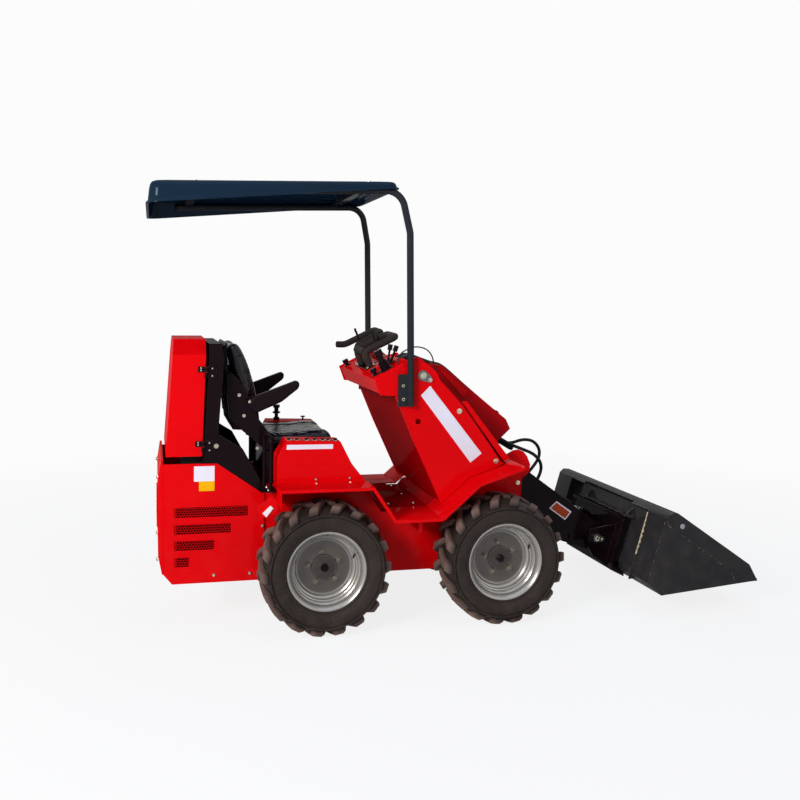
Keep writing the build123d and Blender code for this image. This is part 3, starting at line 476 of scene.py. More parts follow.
def linear(colour: tuple) -> tuple:
    """A colour written in 0..255 as the linear values that a shader reads."""
    share = np.array(colour, float) / 255
    value = np.where(share <= 0.04045, share / 12.92, ((share + 0.055) / 1.055)**2.4)
    return (*value.tolist(), 1.0)


class Graph:
    """Adds nodes to a tree and joins them, so that a finish reads as one line per step."""

    def __init__(self, tree: bpy.types.NodeTree, source: str) -> None:
        """Empties a tree, and reads places from one output of its texture coordinates."""
        self.tree = tree
        self.tree.nodes.clear()
        self.place = self.node("ShaderNodeTexCoord").outputs[source]

    def join(self, start: bpy.types.NodeSocket, end: bpy.types.NodeSocket) -> None:
        """Links two sockets."""
        self.tree.links.new(start, end)

    def node(self, kind: str, inputs: dict | None = None, **settings: object) -> bpy.types.Node:
        """Adds a node.

        Args:
            kind: Blender's name of the node's type.
            inputs: values for its inputs, or sockets that they are linked to, by name or number.
            settings: its properties, which are written before its inputs.

        Returns:
            The node.
        """
        made = self.tree.nodes.new(kind)
        for key, value in settings.items():
            setattr(made, key, value)
        for key, value in (inputs or {}).items():
            if isinstance(value, bpy.types.NodeSocket):
                self.join(value, made.inputs[key])
            else:
                made.inputs[key].default_value = value
        return made

    def noise(self, scale: float, detail: float = 3.0) -> bpy.types.NodeSocket:
        """Soft noise with cells about 1 / scale metres wide."""
        inputs = {"Vector": self.place, "Scale": scale, "Detail": detail}
        return self.node("ShaderNodeTexNoise", inputs).outputs["Fac"]

    def cells(self, scale: float, feature: str = "DISTANCE_TO_EDGE") -> bpy.types.NodeSocket:
        """Distance to the edges or middles of cells about 1 / scale metres wide."""
        inputs = {"Vector": self.place, "Scale": scale}
        return self.node("ShaderNodeTexVoronoi", inputs, feature=feature).outputs["Distance"]

    def axis(self, vector: bpy.types.NodeSocket, number: int) -> bpy.types.NodeSocket:
        """One coordinate of a vector."""
        return self.node("ShaderNodeSeparateXYZ", {0: vector}).outputs[number]

    def between(self, value: bpy.types.NodeSocket, low: float, high: float,
                out: tuple = (0.0, 1.0)) -> bpy.types.NodeSocket:
        """A value stretched from low..high to a range, held at its ends."""
        inputs = {"Value": value, "From Min": low, "From Max": high, "To Min": out[0], "To Max": out[1]}
        return self.node("ShaderNodeMapRange", inputs).outputs[0]

    def maths(self, operation: str, a: object, b: object = 0.0) -> bpy.types.NodeSocket:
        """One sum on two values or sockets."""
        return self.node("ShaderNodeMath", {0: a, 1: b}, operation=operation).outputs[0]

    def product(self, a: object, b: object, c: object) -> bpy.types.NodeSocket:
        """Three values or sockets multiplied."""
        return self.maths("MULTIPLY", self.maths("MULTIPLY", a, b), c)

    def mixed(self, share: object, a: object, b: object) -> bpy.types.NodeSocket:
        """Colour a, turning to colour b by a share."""
        return self.node("ShaderNodeMix", {0: share, 6: a, 7: b}, data_type="RGBA").outputs[2]

    def edges(self, radius: float) -> bpy.types.NodeSocket:
        """How near an outer edge is, from the angle between the plain and a rounded normal.

        Args:
            radius: how far from an edge it reaches, in metres.

        Returns:
            0 on the flat and 1 on the edge.
        """
        rounded = self.node("ShaderNodeBevel", {"Radius": radius}, samples=4).outputs[0]
        plain = self.node("ShaderNodeNewGeometry").outputs["Normal"]
        turn = self.node("ShaderNodeVectorMath", {0: rounded, 1: plain}, operation="DOT_PRODUCT")
        return self.between(turn.outputs["Value"], 0.999, 0.93)

    def bump(self, height: bpy.types.NodeSocket, distance: float, strength: float,
             onto: bpy.types.NodeSocket | None = None) -> bpy.types.NodeSocket:
        """A normal raised by a height.

        Args:
            height: the pattern.
            distance: how high it stands, in metres.
            strength: its share.
            onto: another bump that it is added to.

        Returns:
            The normal.
        """
        inputs = {"Height": height, "Distance": distance, "Strength": strength}
        if onto:
            inputs["Normal"] = onto
        return self.node("ShaderNodeBump", inputs).outputs[0]


class Surface(Graph):
    """The nodes of one material around a Principled shader."""

    def __init__(self, name: str) -> None:
        """Starts an empty material with a shader and an output.

        Args:
            name: the material's name.
        """
        self.material = bpy.data.materials.new(name)
        self.material.use_nodes = True
        super().__init__(self.material.node_tree, "Object")
        self.shader = self.node("ShaderNodeBsdfPrincipled")
        self.output = self.node("ShaderNodeOutputMaterial", {"Surface": self.shader.outputs[0]})

    def set(self, values: dict) -> None:
        """Writes constants on the shader's own sockets."""
        for name, value in values.items():
            self.shader.inputs[name].default_value = value


DUST, GRIT = (150, 134, 112), (92, 80, 70)              # on paint, and worked into rubber
DISC_SHADE_GREY, HUB_SHADE_GREY = (74, 68, 65), (46, 39, 36)        # painted shade of a wheel's recessed disc and hub
# distances from the axle in metres: where the painted shade of the disc and the hub ends, and where the tread
# begins
DISC_EDGE, HUB_EDGE, SHOULDER = (0.124, 0.112), (0.054, 0.047), (0.250, 0.274)


@dataclass(frozen=True)
class Finish:
    """One finish: its colour in 0..255, its shine, its grain, the marks of its use and painted shade where it
    has any.
    """

    name: str
    colour: tuple
    roughness: float
    grain: Grain = Grain.PAINT
    metallic: float = 0.0
    coat: float = 0.0
    specular: float = 0.5
    uneven: float = 0.06            # how far the colour varies
    dust: float = 0.0               # dust on faces that look up, and low on the machine
    worn: float = 0.0               # paint rubbed off outer edges
    wrapped: bool = False           # under a clear creased film
    crown_shade_and_wear: tuple | None = None      # colour past the shoulder of a tyre: painted shade on the carcass between the lugs; on the lugs, tops partly dusty and lighter than the painted shade at their feet
    disc_painted_shade: bool = False            # painted shade: darker on a wheel's recessed disc and hub
    under: tuple = (120, 112, 104)  # what shows where the paint is worn
    slot: str = "black_paint"

    def material(self) -> bpy.types.Material:
        """The finish as a material, made once and kept."""
        made = bpy.data.materials.get(self.name)
        return made if made else self._make()

    def _make(self) -> bpy.types.Material:
        """Joins the colour, the uneven shine, the grain's bump and the film to the shader.

        Returns:
            The new material.
        """
        graph = Surface(self.name)
        shine = (self.roughness * 0.82, min(self.roughness * 1.2, 1.0))
        graph.join(self._colour(graph), graph.shader.inputs["Base Color"])
        graph.join(graph.between(graph.noise(11.0, 4.0), 0.3, 0.7, shine), graph.shader.inputs["Roughness"])
        graph.set({"Metallic": self.metallic, "Specular IOR Level": self.specular, "Coat Weight": self.coat,
                   "Coat Roughness": 0.08})
        graph.join(self._normal(graph), graph.shader.inputs["Normal"])
        if self.wrapped:
            crease = graph.between(graph.cells(19.0), 0.0, 0.07)
            film = graph.bump(crease, 0.005, 0.30, graph.bump(graph.noise(20.0, 5.0), 0.012, 0.38))
            graph.join(film, graph.shader.inputs["Coat Normal"])
        return graph.material

    def _colour(self, graph: Surface) -> bpy.types.NodeSocket:
        """The uneven colour with the marks and the painted shade that this finish has.

        Args:
            graph: the material's nodes.

        Returns:
            The colour's socket.
        """
        base = linear(self.colour)
        dark = tuple(c * (1 - self.uneven * 2.2) for c in base[:3]) + (1.0,)
        light = tuple(min(c * (1 + self.uneven), 1.0) for c in base[:3]) + (1.0,)
        cloud = graph.noise(3.5, 5.0)
        colour = graph.mixed(graph.between(cloud, 0.3, 0.7), dark, light)
        if self.grain is Grain.RUBBER:
            grit = graph.between(graph.noise(90.0, 4.0), 0.45, 0.75, (0.0, 0.12))
            colour = graph.mixed(grit, colour, linear(GRIT))
        # Painted shade: past the shoulder the carcass between the lugs turns near black, and the lugs' feet
        # stay darker than their tops, which are partly dusty.
        if self.crown_shade_and_wear:
            tread = graph.between(self._from_axle(graph), *SHOULDER, (0.0, 0.95))
            share = graph.maths("MULTIPLY", tread, graph.between(cloud, 0.2, 0.6, (0.55, 1.0)))
            colour = graph.mixed(share, colour, linear(self.crown_shade_and_wear))
        # Painted shade: the recessed disc and the hub of a wheel are darkened by their distance from the
        # axle.
        if self.disc_painted_shade:
            near = self._from_axle(graph)
            for edge, grey in ((DISC_EDGE, DISC_SHADE_GREY), (HUB_EDGE, HUB_SHADE_GREY)):
                colour = graph.mixed(graph.between(near, *edge), colour, linear(grey))
        if self.dust:
            colour = graph.mixed(self._dusty(graph), colour, linear(DUST))
        if self.worn:
            broken = graph.between(graph.noise(55.0, 5.0), 0.46, 0.62)
            rubbed = graph.product(graph.edges(0.0022), broken, self.worn)
            colour = graph.mixed(rubbed, colour, linear(self.under))
        return colour

    def _dusty(self, graph: Surface) -> bpy.types.NodeSocket:
        """How much dust lies at a place: in patches, on faces that look up and low on the machine.

        Args:
            graph: the material's nodes.

        Returns:
            The share of dust.
        """
        up = graph.axis(graph.node("ShaderNodeNewGeometry").outputs["Normal"], 2)
        low = graph.between(graph.axis(graph.place, 2), 0.75, 0.1)
        lying = graph.maths("MAXIMUM", graph.between(up, 0.3, 1.0, (0.0, 0.7)), low)
        return graph.product(lying, graph.between(graph.noise(14.0, 6.0), 0.42, 0.72), self.dust)

    def _from_axle(self, graph: Surface) -> bpy.types.NodeSocket:
        """Distance from the nearer of the two axles, as the square root of two squares.

        Args:
            graph: the material's nodes.

        Returns:
            The distance in metres.
        """
        ahead, up = graph.axis(graph.place, 0), graph.axis(graph.place, 2)
        reach = [graph.maths("ABSOLUTE", graph.maths("SUBTRACT", ahead, DATUM.axle_x + axle * MM))
                 for axle in (0.0, WHEELBASE)]
        level = graph.maths("MINIMUM", *reach)
        rise = graph.maths("SUBTRACT", up, DATUM.axle_z * MM)
        squares = [graph.maths("MULTIPLY", side, side) for side in (level, rise)]
        return graph.maths("SQRT", graph.maths("ADD", *squares))

    def _normal(self, graph: Surface) -> bpy.types.NodeSocket:
        """The bump that belongs to the grain.

        Args:
            graph: the material's nodes.

        Returns:
            The normal's socket.
        """
        if self.grain is Grain.PAINT:
            peel = graph.bump(graph.noise(9.0, 2.0), 0.004, 0.05)
            return graph.bump(graph.noise(420.0, 2.0), 0.0004, 0.10, peel)
        if self.grain is Grain.SMOOTH:
            return graph.bump(graph.noise(160.0, 3.0), 0.0003, 0.08)
        if self.grain is Grain.RUBBER:
            return graph.bump(graph.noise(260.0, 6.0), 0.0012, 0.35)
        if self.grain is Grain.LEATHER:
            soft = graph.bump(graph.noise(30.0), 0.003, 0.2)
            return graph.bump(graph.between(graph.cells(420.0), 0.0, 0.25), 0.0007, 0.35, soft)
        if self.grain is Grain.FOAM:
            return graph.bump(graph.cells(700.0, "F1"), 0.0012, 0.45)
        return graph.bump(graph.noise(330.0, 8.0), 0.0015, 0.4)


RED = Finish("red_enamel", (216, 3, 10), 0.30, coat=0.08, specular=0.0, uneven=0.03, dust=0.02,
             slot="red_paint")
# A darker copy of the red enamel: painted shade on the floor plates and the tower's rear panel.
RED_SHADE = Finish("red_enamel_painted_shade", (150, 3, 9), 0.45, coat=0.015, specular=0.0, uneven=0.05,
                   slot="red_paint")
# A darker copy of the red enamel: painted shade on the boom's beam.
RED_BOOM_SHADE = Finish("red_enamel_boom_shade", (176, 4, 12), 0.36, coat=0.08, specular=0.0, uneven=0.05, dust=0.03,
                  slot="red_paint")
# The black's reddish tint is painted bounce light from the red body.
BLACK = Finish("black_enamel", (21, 10, 14), 0.34, coat=0.11, specular=0.0, uneven=0.08, dust=0.02,
               worn=0.25)
POST_BLACK = Finish("post_enamel", (38, 41, 44), 0.34, coat=0.14, specular=0.0, uneven=0.08, worn=0.2)
BUCKET_BLACK = Finish("bucket_enamel", (44, 42, 43), 0.42, coat=0.16, specular=0.0, uneven=0.10, dust=0.05,
                      worn=0.9, under=(176, 158, 128))
# TYRE's crown colour is painted shade between the lugs; TREAD's dark base is painted shade at the lugs' feet
# under tops that are partly dusty.
TYRE = Finish("tyre_rubber", (42, 34, 31), 0.62, Grain.RUBBER, specular=0.14, uneven=0.10, dust=0.05,
              crown_shade_and_wear=(9, 6, 6), slot="tyre")
TREAD = Finish("tyre_tread", (20, 15, 14), 0.74, Grain.RUBBER, specular=0.10, uneven=0.10, dust=0.04,
               crown_shade_and_wear=(112, 90, 82), slot="tyre")
# Its disc and hub are darkened with painted shade.
SILVER = Finish("wheel_silver", (150, 146, 140), 0.30, Grain.SMOOTH, metallic=0.5, coat=0.2, uneven=0.06,
                dust=0.08, disc_painted_shade=True, slot="rim_silver")
ROOF = Finish("canopy_plastic", (16, 35, 51), 0.34, Grain.SMOOTH, coat=0.12, specular=0.0, uneven=0.05,
              slot="roof_plastic")
VINYL = Finish("black_vinyl", (22, 19, 27), 0.42, Grain.LEATHER, coat=0.42, specular=0.0, uneven=0.10,
               wrapped=True, slot="vinyl")
PIPING = Finish("vinyl_piping", (16, 15, 17), 0.46, Grain.LEATHER, specular=0.1, uneven=0.06, slot="vinyl")
MOULDED = Finish("moulded_plastic", (24, 14, 18), 0.46, Grain.CAST, specular=0.05, uneven=0.06,
                 slot="black_plastic")
FOAM = Finish("handle_foam", (46, 40, 38), 0.86, Grain.FOAM, specular=0.1, uneven=0.12, slot="foam")
HOSE = Finish("hose_rubber", (22, 21, 23), 0.46, Grain.RUBBER, specular=0.1, uneven=0.06, slot="hose")
ZINC = Finish("zinc_plate", (196, 190, 172), 0.26, Grain.SMOOTH, metallic=1.0, uneven=0.10,
              slot="pin_steel")
STEEL = Finish("pin_steel_grey", (112, 112, 114), 0.34, Grain.SMOOTH, metallic=0.8, uneven=0.14,
               slot="pin_steel")
BARE = Finish("bare_weld", (236, 214, 172), 0.40, Grain.CAST, metallic=0.2, specular=0.2, uneven=0.20,
              slot="pin_steel")
NUT = Finish("wheel_nut", (112, 104, 92), 0.42, Grain.SMOOTH, metallic=0.5, uneven=0.10, slot="pin_steel")
CHROME = Finish("bright_chrome", (150, 154, 164), 0.16, Grain.SMOOTH, metallic=1.0, uneven=0.03,
                slot="rod_chrome")
CAST_GREY = Finish("engine_grey", (54, 54, 56), 0.55, Grain.CAST, metallic=0.3, specular=0.1, uneven=0.15,
                   slot="cast_grey")
CORE_BLACK = Finish("core_black", (12, 8, 8), 0.9, Grain.CAST, specular=0.0, uneven=0.05, slot="cast_grey")
PLUG_GREY = Finish("plug_grey", (150, 152, 156), 0.5, Grain.SMOOTH, specular=0.2, uneven=0.06,
                   slot="pin_steel")
WHITE_LABEL = Finish("white_label", (226, 220, 230), 0.35, Grain.SMOOTH, specular=0.1, uneven=0.02,
                     slot="lens_white")
YELLOW_LABEL = Finish("yellow_label", (238, 172, 4), 0.35, Grain.SMOOTH, specular=0.1, uneven=0.02,
                      slot="lens_white")
ORANGE_LABEL = Finish("orange_label", (160, 62, 24), 0.35, Grain.SMOOTH, specular=0.1, uneven=0.06,
                      slot="lens_white")
LAMP_WHITE = Finish("lamp_lens", (236, 226, 226), 0.16, Grain.SMOOTH, coat=0.3, uneven=0.02,
                    slot="lens_white")


# ------------------------------------------------------------------ pieces
def linked(name: str, data: bpy.types.ID) -> bpy.types.Object:
    """A new object of some data, in the scene."""
    made = bpy.data.objects.new(name, data)
    bpy.context.scene.collection.objects.link(made)
    return made


def piece(name: str, shape: Shape, finish: Finish, body: str = "chassis", *, bevel: float = 0.0,
          replaces: tuple = (), merge: bool = False) -> bpy.types.Object:
    """Makes one object of a shape, dresses it and lets it ride on a body.

    Args:
        name: the piece's name.
        shape: its surface, in millimetres.
        finish: what it is painted or made of.
        body: the CAD body that it moves with.
        bevel: width of its rounded edges in millimetres.
        replaces: CAD nodes that it stands for.
        merge: whether its doubled points are joined.

    Returns:
        The object, at the origin.
    """
    mesh = bpy.data.meshes.new(name)
    mesh.from_pydata(DATUM.metres(shape.points), [], shape.faces)
    made = linked(name, mesh)
    if merge:
        weld(made, 0.01)
    dress(made, finish, body, bevel)
    if replaces:
        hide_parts(*replaces)
    LOG.info("piece %s: %d faces", name, len(mesh.polygons))
    return made


def weld(made: bpy.types.Object, threshold: float) -> None:
    """Joins points of an object that are nearer than a threshold in millimetres."""
    joint = made.modifiers.new("weld", "WELD")
    joint.merge_threshold = threshold * MM


def dress(made: bpy.types.Object, finish: Finish, body: str, bevel: float) -> None:
    """Gives an object its finish, rounded edges, smooth shading and body.

    Args:
        made: the object.
        finish: what it is painted or made of.
        body: the CAD body that it moves with.
        bevel: width of its rounded edges in millimetres, or 0 for none.
    """
    made.data.materials.clear()
    made.data.materials.append(finish.material())
    if bevel:
        edge = made.modifiers.new("edge", "BEVEL")
        edge.width = bevel * MM
        edge.segments = 2
        edge.limit_method = "ANGLE"
        edge.angle_limit = math.radians(28)
        edge.harden_normals = False
    made.data.polygons.foreach_set("use_smooth", np.ones(len(made.data.polygons), bool))
    made.data.set_sharp_from_angle(angle=math.radians(32))
    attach(made, body)


def finished_mesh(made: bpy.types.Object) -> bpy.types.Mesh:
    """A new mesh of an object as its modifiers leave it."""
    return bpy.data.meshes.new_from_object(made.evaluated_get(bpy.context.evaluated_depsgraph_get()))


def bake_modifiers(made: bpy.types.Object) -> None:
    """Applies every modifier of an object to its mesh."""
    mesh = finished_mesh(made)
    made.modifiers.clear()
    made.data = mesh


def softened(node: str, finish: Finish, body: str, width: float) -> bpy.types.Object:
    """A copy of a CAD node that stands for it.

    Its flat faces are joined, its edges are rounded and it gets its finish.

    Args:
        node: the CAD node's name.
        finish: what it is painted or made of.
        body: the CAD body that it moves with.
        width: of its rounded edges in millimetres.

    Returns:
        The object, at the origin.
    """
    made = linked(node + "_finished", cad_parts[node].data.copy())
    bpy.context.view_layer.objects.active = made
    weld(made, 0.02)
    flat = made.modifiers.new("flat", "DECIMATE")
    flat.decimate_type = "DISSOLVE"
    flat.angle_limit = math.radians(1.0)
    bpy.context.view_layer.update()
    bake_modifiers(made)
    dress(made, finish, body, width)
    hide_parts(node)
    LOG.info("softened %s: %d faces", node, len(made.data.polygons))
    return made


# ------------------------------------------------------------------ studio
@dataclass(frozen=True)
class Lamp:
    """One area lamp: its place in millimetres, its power in watts, its size in metres and its colour."""

    name: str
    place: tuple
    power: float
    size: float
    colour: tuple = (1.0, 1.0, 1.0)

    def build(self, aim: tuple) -> None:
        """Makes the lamp.

        Args:
            aim: the place in millimetres that it is turned to.
        """
        data = bpy.data.lights.new(self.name, "AREA")
        data.color = self.colour
        data.energy = self.power
        data.size = self.size
        start, end = DATUM.metres(self.place), DATUM.metres(aim)
        away = unit(start - end)
        side = unit(np.cross([0.0, 0.0, 1.0], away))
        linked(self.name, data).matrix_world = pose(side, np.cross(away, side), away, start)


def pose(right: np.ndarray, up: np.ndarray, back: np.ndarray, place: np.ndarray) -> Matrix:
    """The matrix of what stands at a place with these three axes."""
    return Matrix([[right[k], up[k], back[k], place[k]] for k in range(3)] + [[0, 0, 0, 1]])


@dataclass
class Studio:
    """Floor, backdrop, lamps and the camera."""

    floor_grey: tuple = (236, 236, 238)
    backdrop: tuple = (252, 252, 252)
    floor_size: float = 60000.0           # from the middle to its edge
    sky: float = 0.27
    horizon: tuple = (0.86, 0.82, 0.78, 1.0)
    zenith: tuple = (0.50, 0.62, 0.88, 1.0)
    aim: tuple = (500.0, 0.0, 700.0)      # what the lamps point at
    lamps: tuple = (Lamp("key", (-4350, -4350, 3300), 388.0, 1.9),
                    Lamp("fill", (4200, -3200, 2600), 30.0, 3.5),
                    Lamp("rim", (1500, 4200, 3600), 45.0, 3.0),
                    Lamp("overhead", (300, -600, 4600), 62.0, 4.0, (0.62, 0.76, 1.0)))
    eye: tuple = (-715.987, -4232.101, 1428.01)
    yaw: float = 12.975
    pitch: float = -3.49
    roll: float = 0.676
    focal: float = 1.1457425              # over the frame's width
    centre_right: float = 0.0461
    centre_up: float = -0.0547

    def build(self) -> None:
        """Makes all of it."""
        self.floor()
        self.world()
        for lamp in self.lamps:
            lamp.build(self.aim)
        self.camera()

    def seen(self, graph: Graph) -> bpy.types.NodeSocket:
        """Finds the rays that show the backdrop: from the camera, off a gloss or through glass.

        Args:
            graph: the nodes that it is added to.

        Returns:
            1 for such a ray and 0 for any other.
        """
        path = graph.node("ShaderNodeLightPath")
        total = path.outputs["Is Camera Ray"]
        for name in ("Is Glossy Ray", "Is Transmission Ray"):
            total = graph.maths("MAXIMUM", total, path.outputs[name])
        return total

    def floor(self) -> None:
        """A wide pale floor that reads as a pale backdrop with a faint shadow."""
        corners = np.array([(-1, -1, 0), (1, -1, 0), (1, 1, 0), (-1, 1, 0)], float) * self.floor_size * MM
        mesh = bpy.data.meshes.new("floor")
        mesh.from_pydata(corners, [], [[0, 1, 2, 3]])
        floor = linked("floor", mesh)
        graph = Surface("floor_pale")
        graph.set({"Base Color": linear(self.floor_grey), "Roughness": 0.9})
        glow = graph.node("ShaderNodeEmission", {"Color": linear(self.backdrop), "Strength": 1.0})
        far = graph.node("ShaderNodeVectorMath", {0: graph.place}, operation="LENGTH").outputs["Value"]
        share = graph.maths("MULTIPLY", self.seen(graph), graph.between(far, 1.6, 5.0, (0.86, 1.0)))
        blend = graph.node("ShaderNodeMixShader", {0: share, 1: graph.shader.outputs[0], 2: glow.outputs[0]})
        graph.join(blend.outputs[0], graph.output.inputs["Surface"])
        mesh.materials.append(graph.material)

    def world(self) -> None:
        """An even sky, bluer overhead, that looks as pale as the floor wherever it is seen."""
        world = bpy.data.worlds.new("studio")
        bpy.context.scene.world = world
        world.use_nodes = True
        graph = Graph(world.node_tree, "Generated")
        tint = graph.mixed(graph.between(graph.axis(graph.place, 2), -0.1, 0.7), self.horizon, self.zenith)
        light = graph.node("ShaderNodeBackground", {"Color": tint, "Strength": self.sky})
        shown = graph.node("ShaderNodeBackground", {"Color": linear(self.backdrop), "Strength": 1.0})
        blend = graph.node("ShaderNodeMixShader", {0: self.seen(graph), 1: light.outputs[0],
                                                   2: shown.outputs[0]})
        graph.node("ShaderNodeOutputWorld", {"Surface": blend.outputs[0]})

    def camera(self) -> None:
        """The camera, from its place, its yaw about Z, its pitch and its roll."""
        yaw, pitch, roll = (math.radians(angle) for angle in (self.yaw, self.pitch, self.roll))
        level = math.cos(pitch)
        forward = np.array([math.sin(yaw) * level, math.cos(yaw) * level, math.sin(pitch)])
        right = np.array([math.cos(yaw), -math.sin(yaw), 0.0])
        up = np.cross(right, forward)
        right, up = math.cos(roll) * right + math.sin(roll) * up, math.cos(roll) * up - math.sin(roll) * right
        data = bpy.data.cameras.new("camera")
        data.sensor_width = 36.0
        data.lens = self.focal * data.sensor_width
        data.shift_x = self.centre_right
        data.shift_y = self.centre_up
        data.clip_end = 200.0
        camera = linked("camera", data)
        camera.matrix_world = pose(right, up, -forward, DATUM.metres(self.eye))
        bpy.context.scene.camera = camera
        bpy.context.scene.view_settings.view_transform = "Standard"


# ------------------------------------------------------------------ wheels
@dataclass
class Wheel:
    """One wheel: a lugged tyre on a stepped steel rim, with its hub, nuts and valve."""

    name: str                                 # such as front_left
    centre: tuple                             # its middle
    side: int                                 # FAR on the left, NEAR on the right
    radius: float = 284.0                     # over the lugs
    lug_height: float = 17.0
    lug_count: int = 18                       # on each half of the tread
    lug_lead: float = 13.0                    # degrees from a lug's inner end to its outer end
    first_lugs: tuple = (-81.96, -91.96)      # degrees of the outer row's and the inner row's first lug
    half_width: float = 107.0                 # over the sidewalls
    bead: float = 167.0                       # radius where the tyre meets the rim
    nut_circle: float = 70.0
    nut_count: int = 5
    first_nut: float = 98.0                   # degrees
    valve_turn: float = 24.0                  # degrees
    valve_circle: float = 139.0

    @property
    def body(self) -> str:
        """The CAD body that the wheel turns with."""
        return "wheel_" + self.name

    def off(self, ahead: float, outward: float, up: float) -> np.ndarray:
        """The place so far ahead of, outside and above the wheel's middle."""
        return np.array(self.centre) + np.array([ahead, outward * self.side, up])

    def section(self) -> np.ndarray:
        """Half of the tyre's section, from the tread's middle to the bead.

        Returns:
            Its places as (radius, width).
        """
        base = self.radius - self.lug_height
        w = self.half_width
        tread = [(base, 0), (base, w * 0.36), (base - 3, w * 0.58), (base - 9, w * 0.74),
                 (base - 16, w * 0.85), (248, w * 0.91), (246.5, w * 0.945)]
        ring = [(246, w * 0.965), (245.5, w + 2.8), (243.6, w + 3.6), (240.8, w + 3.6), (239.4, w + 2.6),
                (238.8, w * 0.962), (234.5, w * 0.958), (233, w * 0.985)]
        wall = smooth_line([(233, w * 0.985), (222, w * 0.995), (206, w * 0.985), (190, w * 0.935),
                            (182, w * 0.89)], 14)
        bead = [(181, w * 0.905), (177, w * 0.90), (175.5, w * 0.86), (self.bead + 2, w * 0.82),
                (self.bead, w * 0.80)]
        return np.array(tread + ring + wall[1:].tolist() + bead, float)

    def tyre(self) -> None:
        """Carcass with its shoulder ring, and two rows of slanting lugs."""
        half = self.section()
        whole = np.vstack([half[::-1], half[1:] * np.array([1.0, -1.0])])
        inner = self.half_width * 0.72
        inside = [(self.bead - 1, -inner), (self.bead + 16, -60), (self.bead + 30, 0), (self.bead + 16, 60),
                  (self.bead - 1, inner)]
        profile = np.vstack([whole, np.array(inside)])
        shape = lathe(profile[::-1], self.centre, (0, 1, 0), 120)
        lugs = self.lugs(self.side, self.first_lugs[0]) + self.lugs(-self.side, self.first_lugs[1])
        piece("tyre_carcass_" + self.name, shape, TYRE, self.body, replaces=("tyre_" + self.name,))
        piece("tyre_lugs_" + self.name, lugs, TREAD, self.body, bevel=1.8)

    def lugs(self, half_side: int, first: float) -> Shape:
        """One row of lugs.

        A lug's place is (radius, angle a0 + lead(s) + t, width) for s from the tread's middle to the
        shoulder and t across the bar; its top is narrower than its foot.

        Args:
            half_side: +1 for the row on the machine's left of the tread's middle, -1 for the other.
            first: angle of the first lug's middle in degrees, from ahead upwards.

        Returns:
            All the lugs of the row as one surface.
        """
        # width across the tread, radius of the top, radius of the foot, half of the bar's width round the
        # tyre
        rows = np.array([(-5, 281.5, 262, 15), (22, 283.5, 262, 16), (52, 284, 258, 19), (84, 282, 250, 24),
                         (101, 266, 244, 26), (108.5, 247, 240, 25)])
        run = (rows[:, 0] - rows[0, 0]) / (rows[-1, 0] - rows[0, 0])
        lead = (run - 0.5) * self.lug_lead
        section = np.array([(-1.0, 0.0), (-0.80, 1.0), (0.80, 1.0), (1.0, 0.0)])
        across, height = section[:, 0][None, :], section[:, 1][None, :]
        r = rows[:, 2:3] * (1 - height) + rows[:, 1:2] * height
        tucked = np.where(rows[:, :1] > 105, -2.0, 0.0) * (1 - height)      # the foot of the outermost row
        w = np.broadcast_to(rows[:, :1] + tucked, r.shape)
        angle = np.radians(lead)[:, None] + across * rows[:, 3:4] / self.radius
        start = np.radians(first + 360.0 / self.lug_count * np.arange(self.lug_count))[:, None, None]
        angle = angle[None] + start
        width = np.broadcast_to(w, angle.shape) * half_side
        places = np.stack([r * np.cos(angle), width, r * np.sin(angle)], -1) + np.array(self.centre)
        return joined([grid(lug if half_side > 0 else lug[:, ::-1], wrap_columns=True, capped=True)
                       for lug in places])

    def rim(self) -> None:
        """Stepped rim with its recessed disc, and its nuts, hub cap and valve."""
        face = [(0, 27), (15, 27), (19, 25), (20, 20), (24, 19), (46, 19), (53, 17), (55, 11), (60, 9),
                (92, 7), (114, 8), (121, 12), (124, 20), (129, 25), (134, 28), (136, 42), (142, 46),
                (143.5, 60), (149, 65), (151, 78), (156, 84), (160, 90), (166, 94), (170, 93), (172, 89)]
        tyre_side = [(171, 84), (162, 80), (155, 72), (141, 54), (140, 0), (141, -54), (155, -72),
                     (162, -80), (171, -84), (172, -89), (168, -93), (160, -90), (150, -76), (134, -52),
                     (131, -6), (118, -2), (0, -2)]
        outward = (0.0, float(self.side), 0.0)
        shape = lathe((face + tyre_side)[::-1], self.centre, outward, 144, closed=False)
        piece("rim_disc_" + self.name, shape, SILVER, self.body, replaces=("rim_" + self.name,))
        turns = np.radians(self.first_nut + 360.0 / self.nut_count * np.arange(self.nut_count))
        places = [self.off(self.nut_circle * math.cos(turn), 8.0, self.nut_circle * math.sin(turn))
                  for turn in turns]
        nut = hex_bolt(11.5, 9.0) + rod((0, 0, 8), (0, 0, 16), 6.5, 12)
        piece("wheel_nuts_" + self.name, facing(nut, places, outward), NUT, self.body)
        cap = [(0, 0), (17, 0), (17, 10), (14, 13), (9, 13), (8, 9), (0, 9)]
        hub = lathe(cap, self.off(0, 25.0, 0), outward, 32, closed=False)
        piece("hub_cap_" + self.name, hub, BLACK, self.body)
        turn = math.radians(self.valve_turn)
        foot = self.off(self.valve_circle * math.cos(turn), 46.0, self.valve_circle * math.sin(turn))
        tip = foot + np.array([-12.0, 26.0 * self.side, -6.0])
        piece("valve_" + self.name, rod(foot, tip, 4.0, 12), HOSE, self.body)

    def build(self) -> None:
        """Makes the wheel."""
        self.tyre()
        self.rim()


